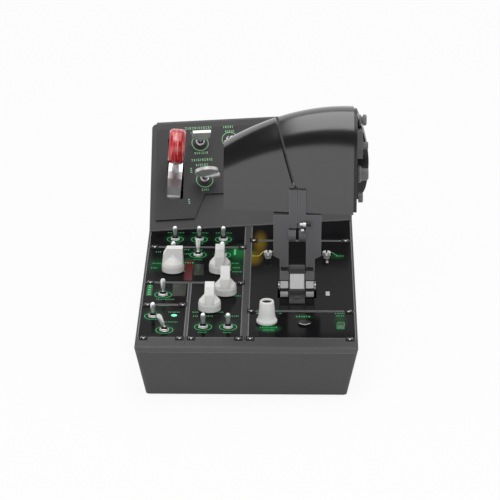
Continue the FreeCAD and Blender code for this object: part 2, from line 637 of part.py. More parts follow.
def deck_frame(form, wells, holes):
    """The frame that carries the panels: pockets, ribs, grooves, posts and the ears of the thumbwheel."""
    slab = block("deck_slab", DECK, "-deck_width", "rim_depth + seam", "-deck_thick", "2 * deck_width",
                 "3 * deck_width", "deck_thick")
    pockets = [padded(f"pocket_{name}", DECK, "XY_Plane", panel_corners(name, "panel_clear"),
                      "-panel_thick - panel_sink", "2 * panel_thick") for name in PANELS]
    grooves = [block(f"groove_{side}", DECK, f"split_{side} - seam", "0", "-groove_depth", "2 * seam",
                     "panel_front", "2 * groove_depth") for side in ("left", "middle")]
    window = block("gear_window", DECK, "gear_across - 12", console_foot_at("gear_across", "-22"), "-deck_thick - 1",
                   "24", "30", "deck_thick + 2")
    posts = [rod(f"post_{i}", moved(DECK, x, y), 0, 0, "-tub_height + plate_thick", "post_radius",
                 "tub_height - plate_thick - deck_thick / 2") for i, (x, y) in enumerate(foot_places(), 1)]
    post_holes = [rod(f"post_hole_{i}", moved(DECK, x, y), 0, 0, "-tub_height", "post_screw", "12")
                  for i, (x, y) in enumerate(foot_places(), 1)]
    ear_drop = "wheel_drop - deck_thick + wheel_pin + 2"
    wheel = moved(DECK, "wheel_across", "wheel_back")
    ears = [block(f"wheel_ear_{i}", wheel, x, "-4.5", f"-deck_thick - ({ear_drop})", "2.4", "9",
                  f"{ear_drop} + 1") for i, x in enumerate(("-wheel_slot_width / 2 - 2.4", "wheel_slot_width / 2"), 1)]
    room = block("wheel_room_box", wheel, "-wheel_slot_width / 2", "-wheel_room / 2", "-deck_thick - 1",
                 "wheel_slot_width", "wheel_room", "deck_thick + 1 - panel_thick")
    shanks = [rod(f"screw_hole_{i}", moved(DECK, x, back), 0, 0, "-deck_thick - 1", "screw_radius + spindle_clear",
                  "deck_thick") for i, (x, back) in enumerate(screw_places(), 1)]
    bore = rod("wheel_bore", wheel, "-wheel_slot_width", 0, "-wheel_drop", "wheel_pin + spindle_clear",
               "2 * wheel_slot_width", ALONG_X)
    plate = common("deck_plate_blank", form, slab)
    whole = joined("deck_plate_whole", [plate] + posts + ears)
    tools = pockets + grooves + post_holes + shanks + [window, wells, holes, room, bore]
    return part(cut("deck_frame", whole, group("deck_tools", tools)), "deck_frame")


def light_panels(wells, holes):
    """The light panels, notched round their screws."""
    for name in PANELS:
        blank = padded(f"{name}_blank", DECK, "XY_Plane", panel_corners(name), "-panel_thick - panel_sink",
                       "panel_thick")
        part(cut(name, blank, group(f"{name}_tools", [wells, holes])), name)


def foot_places():
    """Feet and posts: (across, back)."""
    half = "deck_width / 2 - draft - foot_inset"
    return [(f"-({half})", "draft + foot_inset"), (half, "draft + foot_inset"),
            (half, rear_at(half, "draft + foot_inset")),
            (f"-({half})", rear_at(f"-({half})", "draft + foot_inset"))]


def base_plate():
    """The plate that closes the tub, with the mounting holes and board pillars."""
    holes = [(f"{sx} * mount_width / 2", f"setback + ({sy}) * mount_length / 2", "mount_bore")
             for sx in (-1, 1) for sy in (-1, 1)]
    holes += [(x, back, "post_screw + 0.1") for x, back in foot_places()]
    corners = ring("deck_width / 2 - draft - tub_wall - plate_clear", "draft + tub_wall + plate_clear",
                   "draft + tub_wall + plate_clear")
    plate = padded("base_plate_sheet", DECK, "XY_Plane", corners, "-tub_height", "plate_thick", holes)
    pillars = [rod(f"board_pillar_{i}", moved(DECK, x, back), 0, 0, "-tub_height + plate_thick", "3", "board_up")
               for i, (x, back) in enumerate(board_corners(), 1)]
    return part(joined("base_plate", [plate] + pillars), "base_plate")


def board_corners():
    """Pillars under the circuit board: (across, back)."""
    return [(f"{sx} * (board_width / 2 - 5)", f"setback + {sy} * (board_length / 2 - 5)")
            for sx in (-1, 1) for sy in (-1, 1)]


def rubber_feet():
    """Round feet under the base plate."""
    feet = [turned(f"foot_{i}", moved(DECK, x, back), [
        ("0", "-tub_height - foot_height"), ("foot_radius - 0.6", "-tub_height - foot_height"),
        ("foot_radius", "-tub_height - foot_height + 0.6"), ("foot_radius", "-tub_height"), ("0", "-tub_height")])
        for i, (x, back) in enumerate(foot_places(), 1)]
    return part(group("rubber_feet", feet), "rubber_feet")


def main_board():
    """The circuit board on its pillars, with its connector rows."""
    up = "-tub_height + plate_thick + board_up"
    board = block("board_sheet", DECK, "-board_width / 2", "setback - board_length / 2", up, "board_width",
                  "board_length", "board_thick")
    rows = [block(f"board_row_{i}", DECK, f"{x} - 3", "setback - 30", f"{up} + board_thick / 2", "6", "60",
                  "board_thick / 2 + 5") for i, x in enumerate(("-35", "0"), 1)]
    return part(joined("main_board", [board] + rows), "main_board")


# ---------------------------------------------------------------- small moving controls

def push_button():
    """A round cap on a stem."""
    frame = moved(DECK, "button_across", "button_back")
    return part(turned("reset_button", frame, [
        ("0", "-deck_thick - 3"), ("2", "-deck_thick - 3"), ("2", "-3.4"), ("button_radius", "-3.4"),
        ("button_radius", "button_up - 0.6"), ("button_radius - 0.6", "button_up"), ("0", "button_up")]),
        "reset_button")


def thumbwheel():
    """A notched wheel on an axle under the deck."""
    frame = moved(DECK, "wheel_across", "wheel_back", "-wheel_drop", ALONG_X)
    wheel = turned("thumbwheel_disc", frame, [
        ("0", "-wheel_width / 2"), ("wheel_radius - 1", "-wheel_width / 2"), ("wheel_radius", "-wheel_width / 2 + 1"),
        ("wheel_radius", "wheel_width / 2 - 1"), ("wheel_radius - 1", "wheel_width / 2"), ("0", "wheel_width / 2")])
    pin = rod("thumbwheel_pin", frame, 0, 0, "-wheel_slot_width / 2 - 2.4", "wheel_pin", "wheel_slot_width + 4.8")
    notches = [rod(f"thumbwheel_notch_{i}", frame, f"(wheel_radius + 0.5) * cos({i} * 22.5)",
                   f"(wheel_radius + 0.5) * sin({i} * 22.5)", "-wheel_width", "1.1", "2 * wheel_width")
               for i in range(16)]
    return part(cut("thumbwheel", joined("thumbwheel_whole", [wheel, pin]), group("thumbwheel_notches", notches)),
                "thumbwheel")


def detent_knob(side):
    """A small slotted metal knob that sets a throttle detent."""
    frame = moved(DECK, f"detent_{side}_across", "detent_back")
    body = turned(f"detent_{side}_body", frame, [
        ("0", "-deck_thick - 1"), ("detent_spindle", "-deck_thick - 1"), ("detent_spindle", "knob_lift"),
        ("0.75 * detent_radius", "knob_lift"), ("0.75 * detent_radius", "0.35 * detent_height"),
        ("detent_radius", "0.5 * detent_height"), ("detent_radius", "detent_height - 0.5"),
        ("detent_radius - 0.5", "detent_height"), ("0", "detent_height")])
    slot = block(f"detent_{side}_slot", frame, "-0.8", "-detent_radius - 1", "0.62 * detent_height", "1.6",
                 "2 * detent_radius + 2", "detent_height")
    return part(cut(f"detent_{side}", body, slot), f"detent_{side}")


# ---------------------------------------------------------------- throttle

def pivot_block():
    """The middle block: a domed top with a flat facet, carried under the deck frame."""
    r = "hub_radius"
    under = "-pivot_up - deck_thick"
    arc = [(f"-{r} * sin({a})", f"{r} * cos({a})") for a in (78, 30, 15, 0, -15, -30, -45, -60, -75, -90)]
    side = arc + [(r, under), ("hub_radius + 9", under), ("hub_radius + 9", f"{under} - 4"), (r, f"{under} - 4"),
                  ("10", "-hub_radius"), ("-10", "-hub_radius"), (f"-{r}", f"{under} - 4"),
                  ("-hub_radius - 9", f"{under} - 4"), ("-hub_radius - 9", under), (f"-{r}", under),
                  (f"-{r}", "0")]
    body = across("pivot_block_body", AXLE, side, "-block_width / 2", "block_width")
    bore = rod("pivot_block_bore", AXLE, "-block_width", 0, 0, "axle_radius", "2 * block_width", ALONG_X)
    return part(cut("pivot_block", body, bore), "pivot_block")


def pivot_bracket():
    """The foot in front of the block, screwed to the deck."""
    frame = AXLE
    low = "-pivot_up - panel_sink"
    side = [("-hub_radius - 14", low), ("-hub_radius - slot_clear", low), ("-hub_radius", f"{low} + 0.4"),
            ("-hub_radius", "0"), ("-hub_radius - 2", "0"), ("-hub_radius - 3", f"{low} + 2.4"),
            ("-hub_radius - 13", f"{low} + 2.4")]
    foot = across("pivot_bracket_foot", frame, side, "-block_width / 2", "block_width")
    head = rod("pivot_bracket_screw", frame, 0, "-hub_radius - 8", f"{low} + 2", "screw_head_radius", "2")
    return part(joined("pivot_bracket", [foot, head]), "pivot_bracket")


AXLE_HALF = "block_width / 2 + hub_gap + hub_width + cap_length"


def throttle_axle():
    """The shaft through both hubs and the block, with a cap at each end."""
    shaft = rod("axle_shaft", AXLE, f"-({AXLE_HALF})", 0, 0, "axle_radius", f"2 * ({AXLE_HALF})", ALONG_X)
    caps = [rod(f"axle_cap_{i}", AXLE, x, 0, 0, "axle_radius + 1.6", "cap_length - 0.3", ALONG_X)
            for i, x in enumerate((f"-({AXLE_HALF})", f"{AXLE_HALF} - cap_length + 0.3"), 1)]
    return part(joined("throttle_axle", [shaft] + caps), "throttle_axle")


def hub(side, sign):
    """A round hub with a flat step in its face."""
    near = "block_width / 2 + hub_gap"
    x = near if sign > 0 else f"-({near}) - hub_width"
    disc = turned(f"hub_{side}_disc", moved(AXLE, x, 0, 0, ALONG_X), [
        ("axle_radius + axle_clear", "0"), ("hub_radius - 0.8", "0"), ("hub_radius", "0.8"),
        ("hub_radius", "hub_width - 0.8"), ("hub_radius - 0.8", "hub_width"),
        ("axle_radius + axle_clear", "hub_width")])
    return part(cut(f"hub_{side}", disc, hub_flats(side)), f"hub_{side}")


def hub_flats(side):
    """The two flats on the front of a hub, as the space that they cut away."""
    tools = []
    for i, angle in enumerate((38, 62), 1):
        turn = Rotation(X_AXIS, angle)
        tools.append(block(f"hub_{side}_flat_{i}", AXLE.multiply(Placement(Vector(), turn)), "-deck_width / 2", "-6",
                           "hub_radius - 0.9", "deck_width", "12", "6"))
    return group(f"hub_{side}_flats", tools)


def arm(side, sign):
    """A stepped arm plate: outer leg, shoulder and inner neck, with its detent roller."""
    def x(value):
        return f"{sign} * ({value})"
    inner = "neck_gap / 2"
    outer = "leg_offset + leg_width"
    up = "-pivot_up"
    corners = [(x(inner), f"leg_top {up}"), (x("leg_offset"), f"leg_top {up}"), (x("leg_offset"), "leg_foot"),
               (x("leg_offset + hub_width - 0.3"), "leg_foot"), (x("leg_offset + hub_width - 0.3"), f"0.5 * leg_top {up}"),
               (x(outer), f"0.55 * leg_top {up}"), (x(outer), f"shoulder_top {up}"),
               (x("inner_edge"), f"shoulder_top {up}"), (x("inner_edge"), f"neck_top {up}"), (x(inner), f"neck_top {up}")]
    corners = [(a.replace("inner_edge", "neck_gap / 2 + neck_width"), b) for a, b in corners]
    back = "arm_front - pivot_back + arm_depth"
    plate = padded(f"arm_{side}_plate", AXLE, "XZ_Plane", corners, f"-({back})", "arm_depth")
    clear = rod(f"arm_{side}_seat", AXLE, "-deck_width", 0, 0, "hub_radius", "2 * deck_width", ALONG_X)
    length = "leg_offset - 1.6"
    roller_x = "1.6" if sign > 0 else f"-1.6 - ({length})"
    roller = rod(f"arm_{side}_roller", AXLE, roller_x, "arm_front - pivot_back + 5", f"roller_up {up}",
                 "roller_radius", length, ALONG_X)
    return part(joined(f"arm_{side}", [cut(f"arm_{side}_cut", plate, clear), roller]), f"arm_{side}")


def grip_section(at, inset=0.0):
    """One cross-section of the grips: flat foot, upright front and back, elliptical crown."""
    left, right = num("grip_left"), num("grip_right")
    t = (at - left) / (right - left)

    def along(name):
        return num(f"{name}_left") * (1 - t) + num(f"{name}_right") * t
    front, deep = along("grip_front") + inset, along("grip_deep") - 2 * inset
    low, crown = along("grip_foot") + inset, along("grip_crown") - inset / 2
    top = num("grip_top_left") + num("grip_top_rise") * t - num("grip_top_fall") * t * t - inset
    base = DECK.Base
    y0, y1 = base.y + front, base.y + front + deep
    z0, zc = base.z + low, base.z + top - crown
    middle = Vector(at, (y0 + y1) / 2, zc)
    half = deep / 2
    major = max(half, crown)
    if crown >= half:
        oval = Part.Ellipse(Vector(at, middle.y, zc + crown), Vector(at, y1, zc), middle)
    else:
        oval = Part.Ellipse(Vector(at, y1, zc), Vector(at, middle.y, zc + crown), middle)
    a = oval.parameter(Vector(at, y0, zc))
    b = oval.parameter(Vector(at, y1, zc))
    one = oval.toShape(min(a, b), max(a, b))
    other = oval.toShape(max(a, b), min(a, b) + 2 * math.pi)
    arc = one if one.BoundBox.ZMax > zc + crown / 2 else other
    lines = [Part.makeLine(Vector(at, y1, zc), Vector(at, y1, z0)),
             Part.makeLine(Vector(at, y1, z0), Vector(at, y0, z0)),
             Part.makeLine(Vector(at, y0, z0), Vector(at, y0, zc))]
    return Part.Wire(Part.__sortEdges__([arc] + lines))


def grip_form(stations, inset=0.0):
    """The form that both grips are cut from."""
    return Part.makeLoft([grip_section(at, inset) for at in stations], True, False)


def split_cone(offset):
    """Everything to the left of the split line: a cone about the throttle axle, so that either grip
    passes the other.  offset moves the line to the right."""
    top, foot, low = (num(f"grip_split_{name}") + offset for name in ("top", "foot", "low"))
    far, near = num("grip_split_top_reach"), num("grip_split_low_reach")
    centre = AXLE.Base
    limit = 1.5 * far
    end = foot + (top - foot) / (far - near) * (limit - near)
    left = num("grip_left - grip_deep_left")
    corners = ((left, 0), (low, 0), (low, near), (foot, near), (end, limit), (left, limit), (left, 0))
    profile = Part.makePolygon([Vector(x, centre.y, centre.z + reach) for x, reach in corners])
    return Part.Face(profile).revolve(centre, X_AXIS, 360)


def grips():
    """The two grips, hollow at their outer ends and notched at the foot for the arm necks."""
    left, right = num("grip_left"), num("grip_right")
    wall = num("grip_wall")
    stations = [left + (right - left) * share for share in (0, 0.33, 0.67, 1)]
    form = grip_form(stations)
    axle = AXLE.Base
    neck = num("neck_gap / 2 + neck_width")
    notch_low = axle.z + num("shoulder_top - pivot_up") - 20
    notch = Part.makeBox(2 * neck, 200, axle.z + num("neck_top - pivot_up") - notch_low,
                         Vector(axle.x - neck, axle.y - 160 + num("arm_front - pivot_back + arm_depth") - 40, notch_low))
    half = num("grip_gap") / 2
    left_side, right_side = split_cone(-half), split_cone(half)
    solid_left, solid_right = form.common(left_side), form.cut(right_side)
    hollow = []
    for start, end in ((left + wall, 16.0), (64.0, right - wall)):
        steps = [start + (end - start) * share for share in (0, 0.5, 1)]
        hollow.append(grip_form(steps, wall))
    shapes = {"grip_left": solid_left.cut(hollow[0]).cut(notch), "grip_right": solid_right.cut(hollow[1]).cut(notch)}
    for name, shape in shapes.items():
        solid = max(shape.Solids, key=lambda s: s.Volume)
        feature = named("Part::Feature", name)
        feature.Shape = solid
        part(feature, name)


# name: place of each control on the thumb plate, as back and up
HATS = {"hat_comm": ("hat_back", "hat_up"), "speed_slider": ("slider_back", "slider_up"),
        "aim_cone": ("cone_back", "cone_up"), "cage_button": ("cage_back", "cage_up")}


def hat_frame(name):
    """The frame of a thumb control: its z points out of the plate."""
    back, up = HATS[name]
    face = num("grip_right + thumb_plate")
    return Placement(Vector(face, DECK.Base.y + num(back), DECK.Base.z + num(up)), ALONG_X)


def thumb_plate():
    """The plate on the right end of the right grip, with a bulged guard behind its controls."""
    right, thick = num("grip_right"), num("thumb_plate")
    plate = Part.Face(grip_section(right, num("thumb_inset"))).extrude(Vector(thick, 0, 0))
    base = DECK.Base
    face = right + thick
    low, high = base.z + num("guard_low"), base.z + num("guard_high")
    y, bulge = base.y + num("guard_back"), num("guard_bulge")
    curve = Part.BSplineCurve()
    curve.interpolate([Vector(face + out * bulge, y, low + up * (high - low))
                       for out, up in ((0, 0), (0.62, 0.09), (0.95, 0.3), (1, 0.46), (0.72, 0.7), (0.3, 0.9), (0, 1))])
    edge = Part.makeLine(Vector(face, y, high), Vector(face, y, low))
    guard = Part.Face(Part.Wire([curve.toShape(), edge])).extrude(Vector(0, num("guard_depth"), 0))
    button = hat_frame("cage_button")
    bore = Part.makeCylinder(num("cage_stem + cage_clear"), 2 * thick, button.multVec(Vector(0, 0, -thick)), X_AXIS)
    shape = plate.fuse(guard).cut(bore)
    feature = named("Part::Feature", "thumb_plate")
    feature.Shape = shape.removeSplitter()
    return part(feature, "thumb_plate")


HAT_PROFILES = {
    "hat_comm": [("0", "control_lift"), ("1.8", "control_lift"), ("1.8", "2.2"), ("5.2", "2.2"), ("5.2", "3.6"),
                 ("3.4", "4.2"), ("3.4", "5.2"), ("5.4", "6"), ("5.4", "8.4"), ("4.4", "9.2"), ("0", "8.8")],
    "aim_cone": [("0", "control_lift"), ("2", "control_lift"), ("2", "1.6"), ("8.4", "1.6"), ("8.4", "3.4"),
                 ("6.6", "4.6"), ("5.6", "10.8"), ("4.6", "11.6"), ("0", "11.2")],
    "cage_button": [("0", "-control_lift - 1.3"), ("cage_stem", "-control_lift - 1.3"), ("cage_stem", "1.6"),
                    ("5", "1.6"), ("5", "5.4"), ("4.4", "6.2"), ("0", "6.2")],
}


def hats():
    """The thumb controls on the right end of the grip."""
    for name, profile in HAT_PROFILES.items():
        part(turned(name, hat_frame(name), profile), name)
    frame = hat_frame("speed_slider")
    long, wide = "slider_long", "slider_wide"
    bar = block("speed_slider_bar", frame, f"-{long} / 2", f"-{wide} / 2", "control_lift", long, wide, "5.6")
    grooves = [block(f"speed_slider_groove_{i}", frame, f"{long} * ({i} / 8 - 0.5) - 0.5", f"-{wide}", "4.9", "1",
                     f"2 * {wide}", "2") for i in range(1, 8)]
    ribbed = cut("speed_slider_ribbed", bar, group("speed_slider_grooves", grooves))
    nub = rod("speed_slider_nub", frame, "2", 0, "4", "3.6", "7")
    part(joined("speed_slider", [ribbed, nub]), "speed_slider")


# ---------------------------------------------------------------- console

def wedge(label, wall="0"):
    """The wedge of the console, or its inside with a wall taken off."""
    shift = f"({wall}) / sin(console_incline)"
    rise = f"{CONSOLE_RISE} - ({wall})"
    foot = "0" if wall == "0" else "1"
    side = [(f"{shift} - ({foot}) / tan(console_incline)", f"-({foot})"),
            (f"{shift} + ({rise}) / tan(console_incline)", rise),
            (f"{CONSOLE_RUN} + console_ridge - ({wall})", rise),
            (f"{CONSOLE_RUN} + console_ridge - ({wall})", f"-({foot})")]
    body = across(label + "_wedge", CONSOLE_FOOT, side, "-deck_width", "2 * deck_width")
    room = block(label + "_room", DECK, f"-deck_width / 2 + ({wall})", "0", "-2", f"deck_width - 2 * ({wall})",
                 "4 * deck_width", "2 * console_slope")
    return common(label, body, room)


GEAR_PIVOT = CONSOLE.multVec(Vector(0, num("gear_slope"), -num("gear_depth")))
GEAR_PIVOT.x = num("gear_across - gear_depth * sin(gear_side_lean) * cos(console_incline - gear_tilt)")
GEAR_PIVOT.y = GEAR_PIVOT.y + num("gear_across * tan(console_yaw)")
GEAR = Placement(GEAR_PIVOT, Rotation(Y_AXIS, num("gear_side_lean")))
GEAR_REST = GEAR.multiply(Placement(Vector(), Rotation(X_AXIS, num("console_incline - gear_tilt"))))


def console_x(x, slope):
    """The console's own x of a line parallel to the casing's sides."""
    return f"({x}) / cos(console_yaw) + ({slope}) * tan(console_yaw) * cos(console_incline)"


def gear_slot(label, grow="0"):
    """The space of the gear slot, in line with the casing's sides."""
    half = "gear_slot_width / 2"
    corners = [(f"{console_x('gear_across', slope)} + ({side}) * ({half})", slope)
               for side, slope in (("-1", "gear_slot_low"), ("1", "gear_slot_low"), ("1", "gear_slot_high"),
                                   ("-1", "gear_slot_high"))]
    return padded(label, CONSOLE, "XY_Plane", corners, "-3 * console_wall", "6 * console_wall")


FACE_SWITCHES = {"switch_tab": ("face_tab_across", "face_switch_slope"),
                 "switch_disc": ("face_disc_across", "face_switch_low"),
                 "switch_bat": ("face_bat_across", "face_switch_slope")}


def face_holes():
    """Holes for the console switches."""
    return [rod(f"hole_{name}", moved(CONSOLE, x, y), 0, 0, "-2 * console_wall", "bushing_radius + bushing_clear",
                "4 * console_wall") for name, (x, y) in FACE_SWITCHES.items()]


def rear_housing(slot, holes):
    """The shell of the console."""
    shell = cut("rear_shell", wedge("rear_outer"), wedge("rear_inner", "console_wall"))
    return part(cut("rear_housing", shell, group("rear_tools", [slot, console_corner()] + holes)), "rear_housing")


def console_corner():
    """What the rounding of the upper left corner takes away."""
    r, high = "console_round", "console_slope - console_round"
    corner = moved(CONSOLE, console_x("-deck_width / 2", high), high)
    outside = block("corner_block", corner, "-2 * console_round", 0, "-console_slope", f"3 * {r}", f"3 * {r}",
                    "2 * console_slope")
    kept = rod("corner_rod", corner, r, 0, "-console_slope", r, "2 * console_slope")
    return cut("corner_tool", outside, kept)


def rear_panel(slot, holes):
    """The stepped face plate on the console."""
    def side(x, slope):
        return (console_x(x, slope), slope)
    left, right = "-deck_width / 2 + face_left", "deck_width / 2 - face_left"
    corners = [side(left, "face_low"), ("face_step_left", "face_low"), ("face_step_right", "face_high"),
               side(right, "face_high"), side(right, "face_top"), side(left, "face_top")]
    blank = padded("rear_panel_blank", CONSOLE, "XY_Plane", corners, "0", "face_plate")
    return part(cut("rear_panel", blank, group("rear_panel_tools", [slot] + holes)), "rear_panel")


def gear():
    """The gear lever: hub and arm, red wheel and curved shutter, on a bracket inside the console."""
    boss = rod("gear_boss", GEAR_REST, "-5", 0, 0, "6", "10", ALONG_X)
    stem = block("gear_stem", GEAR_REST, "-2.5", "-2.2", "4", "5", "4.4", "gear_reach - 4")
    web = padded("gear_web", GEAR_REST, "YZ_Plane", [("-5", "2"), ("5", "2"), ("3", "shutter_radius + 8"),
                                                     ("-3", "shutter_radius + 8")], "-3.5", "7")
    bore = rod("gear_bore", GEAR_REST, "-20", 0, 0, "gear_pin + spindle_clear", "40", ALONG_X)
    part(cut("gear_arm", joined("gear_arm_whole", [boss, stem, web]), bore), "gear_arm")

    wheel_frame = moved(GEAR_REST, "-gear_wheel_width / 2", 0, "gear_reach", ALONG_X)
    r, w = "gear_wheel_radius", "gear_wheel_width"
    disc = turned("gear_wheel_disc", wheel_frame, [
        ("0", "1.5"), (f"{r} - 6", "1.5"), (f"{r} - 5", "0"), (f"{r} - 2.4", "0"), (f"{r} - 0.6", "1.6"), (r, "4"),
        (r, f"{w} - 4"), (f"{r} - 0.6", f"{w} - 1.6"), (f"{r} - 2.4", w), (f"{r} - 5", w), (f"{r} - 6", f"{w} - 1.5"),
        ("0", f"{w} - 1.5")])
    part(cut("gear_wheel", disc, document.getObject("gear_arm")), "gear_wheel")

    outer, inner = "shutter_radius", "shutter_radius - shutter_thick"
    turns = [f"-shutter_above + {k} * (shutter_above + shutter_below) / 6" for k in range(7)]
    arc = [(f"-({outer}) * sin({a})", f"({outer}) * cos({a})") for a in turns]
    back = [(f"-({inner}) * sin({a})", f"({inner}) * cos({a})") for a in reversed(turns)]
    sheet_body = padded("gear_shutter_sheet", GEAR_REST, "YZ_Plane", arc + back, "-shutter_width / 2", "shutter_width")
    part(cut("gear_shutter", sheet_body, document.getObject("gear_arm")), "gear_shutter")


def gear_bracket():
    """The U bracket on the deck frame that holds the gear pivot pin."""
    pivot_up = GEAR_PIVOT.z - DECK.Base.z
    foot = Placement(Vector(GEAR_PIVOT.x, GEAR_PIVOT.y, DECK.Base.z), Rotation())
    cheeks = [block(f"gear_cheek_{i}", foot, x, "-6", "0", "2.4", "12", str(round(pivot_up + 6, 3)))
              for i, x in enumerate(("-9.6", "7.2"), 1)]
    pin = rod("gear_pin_rod", GEAR, "-11", 0, 0, "gear_pin", "22", ALONG_X)
    return part(joined("gear_bracket", cheeks + [pin]), "gear_bracket")


def console_switches():
    """The three levers on the console face."""
    for name, (x, y) in FACE_SWITCHES.items():
        frame = moved(CONSOLE, x, y)
        up = "toggle_pivot_up + face_plate"
        if name == "switch_bat":
            part(lever(name, frame, "toggle_lean", "0", up), name)
            continue
        turn = Rotation(X_AXIS, -4 if name == "switch_tab" else 7)
        base = moved(frame, 0, 0, up, turn)
        stem = turned(name + "_stem", base, [
            ("0", "-ball_radius"), ("0.7 * ball_radius", "-0.7 * ball_radius"), ("ball_radius", "0"),
            ("0.8 * ball_radius", "0.6 * ball_radius"), ("toggle_stem", "1.2 * ball_radius"),
            ("toggle_stem", "9"), ("0", "9")])
        if name == "switch_tab":
            head = padded(name + "_head", base, "XZ_Plane", [
                ("-6", "4.5"), ("6", "4.5"), ("9.5", "9"), ("9.5", "19"), ("-9.5", "19"), ("-9.5", "9")], "-1.6", "3.2")
        else:
            head = rod(name + "_head", base, 0, "1.7", "17", "12.2", "3.4", Rotation(X_AXIS, 90))
            side_up = "bushing_up - toggle_pivot_up + 2 * toggle_stem"
            side = moved(base, 0, "-1.5 * toggle_stem", side_up, Rotation(Y_AXIS, num("side_bat_lean")))
            stem = joined(name + "_stems", [stem, turned(name + "_side", side, [
                ("0", "0"), ("toggle_stem", "0"), ("toggle_stem", "5"), ("toggle_tip", "side_bat - 4"),
                ("toggle_tip", "side_bat - 1.4"), ("0.6 * toggle_tip", "side_bat"), ("0", "side_bat")])])
        part(joined(name, [stem, head]), name)


def switch_cases():
    """All switch cases: those of the deck and those of the console."""
    cases = [switch_case(f"case_{name}", moved(DECK, x, back)) for name, (x, back, a, b) in TOGGLES.items()]
    cases += [switch_case(f"case_{name}", moved(CONSOLE, x, y), "bushing_up + face_plate", "console_wall + 0.3")
              for name, (x, y) in FACE_SWITCHES.items()]
    button = moved(DECK, "button_across", "button_back")
    box = block("case_button_box", button, "-7", "-7", "-deck_thick - 7", "14", "14", "7")
    well = rod("case_button_bore", button, 0, 0, "-deck_thick - 5", "2.1", "8")
    cases.append(cut("case_button", box, well))
    return part(group("switch_cases", cases), "switch_cases")


# ---------------------------------------------------------------- the model

form = outer_form()
wells, holes = screw_wells(), deck_holes()
tub(form)
deck_frame(form, wells, holes)
light_panels(wells, holes)
base_plate()
rubber_feet()
main_board()
panel_screws()
for label, (x, back, lean_x, lean_y) in TOGGLES.items():
    part(lever(label, moved(DECK, x, back), lean_x, lean_y), label)
for label, (x, back, turn) in KNOBS.items():
    pointer_knob(label, x, back, turn)
bell_knob()
encoder_cases()
push_button()
thumbwheel()
for side in ("left", "right"):
    detent_knob(side)
pivot_block()
pivot_bracket()
throttle_axle()
for side, sign in (("left", -1), ("right", 1)):
    hub(side, sign)
    arm(side, sign)
grips()
thumb_plate()
hats()
slot, switch_holes = gear_slot("gear_slot"), face_holes()
rear_housing(slot, switch_holes)
rear_panel(slot, switch_holes)
gear()
gear_bracket()
console_switches()
switch_cases()
document.recompute()

faults = [f"{o.Label}: {o.State}" for o in document.Objects if {"Invalid", "Error"} & set(o.State)]
faults += [f"{o.Label}: bad shape" for o in PARTS if o.Shape.isNull() or not o.Shape.isValid() or not o.Shape.Solids]
if faults:
    sys.exit("not built: " + "; ".join(faults))

os.makedirs("parts", exist_ok=True)
for piece in PARTS:
    piece.Shape.exportStep(os.path.join("parts", piece.Label + ".step"))
print(len(PARTS), "parts")
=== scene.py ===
"""Looks of a desktop throttle quadrant: camera, light, materials, lit marks and small trim on its frame.

Everything is in metres in the frame's own axes. MM turns millimetres into them.
"""
import json
from math import cos, pi, radians, tan

import bmesh
import bpy
from mathutils import Matrix, Vector

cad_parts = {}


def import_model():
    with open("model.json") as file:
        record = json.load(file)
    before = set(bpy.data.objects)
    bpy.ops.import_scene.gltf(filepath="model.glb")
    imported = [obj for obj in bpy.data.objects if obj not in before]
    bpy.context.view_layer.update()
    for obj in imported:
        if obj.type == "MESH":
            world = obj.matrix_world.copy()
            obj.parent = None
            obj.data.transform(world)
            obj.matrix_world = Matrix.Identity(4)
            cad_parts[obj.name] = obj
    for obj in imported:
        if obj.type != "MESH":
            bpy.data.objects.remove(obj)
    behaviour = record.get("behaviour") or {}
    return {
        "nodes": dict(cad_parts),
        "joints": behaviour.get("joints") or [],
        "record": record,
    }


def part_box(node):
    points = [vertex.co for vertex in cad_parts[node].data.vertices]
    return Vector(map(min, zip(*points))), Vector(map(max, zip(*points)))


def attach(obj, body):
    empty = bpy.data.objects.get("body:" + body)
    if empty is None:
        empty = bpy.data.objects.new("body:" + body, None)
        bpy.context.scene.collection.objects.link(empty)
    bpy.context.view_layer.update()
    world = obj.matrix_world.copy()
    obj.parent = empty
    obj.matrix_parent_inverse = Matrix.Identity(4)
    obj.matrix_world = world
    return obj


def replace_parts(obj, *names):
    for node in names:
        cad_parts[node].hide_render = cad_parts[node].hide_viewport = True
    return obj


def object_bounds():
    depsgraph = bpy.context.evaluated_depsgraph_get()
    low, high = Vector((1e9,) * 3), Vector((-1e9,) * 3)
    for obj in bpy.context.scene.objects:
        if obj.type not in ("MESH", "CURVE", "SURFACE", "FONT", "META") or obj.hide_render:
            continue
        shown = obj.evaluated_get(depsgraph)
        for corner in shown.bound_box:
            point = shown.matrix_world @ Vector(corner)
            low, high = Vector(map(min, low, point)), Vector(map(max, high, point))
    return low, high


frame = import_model()
cad_box = [list(corner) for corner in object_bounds()]

MM = 0.001
DECK_TOP = 50 * MM
PANEL_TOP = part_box("panel_centre")[1].z
DECK_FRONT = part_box("deck_frame")[0].y
CONSOLE_TURN, CONSOLE_SLOPE = radians(9.8), radians(45)
CONSOLE = (Matrix.Translation((0, 127 * MM, DECK_TOP)) @ Matrix.Rotation(CONSOLE_TURN, 4, "Z")
           @ Matrix.Rotation(CONSOLE_SLOPE, 4, "X"))
FACE_PLATE = 2.4 * MM
AXLE = Vector((47.6, -48, 52)) * MM
HUB_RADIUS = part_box("hub_left")[1].z - AXLE.z
THROTTLES = ("throttle_left", "throttle_right")
LIGHT_PANELS = ("panel_rear_left", "panel_mid_left", "panel_side", "panel_front_left", "panel_centre",
                "panel_front_right", "panel_throttle", "panel_rear_right")
DECK_TOGGLES = [f"toggle_{row}_{i}" for row, count in (("rear", 3), ("mid", 3), ("front", 2), ("side", 3))
                for i in range(1, count + 1)]
CONSOLE_SWITCHES = ("switch_tab", "switch_disc", "switch_bat")


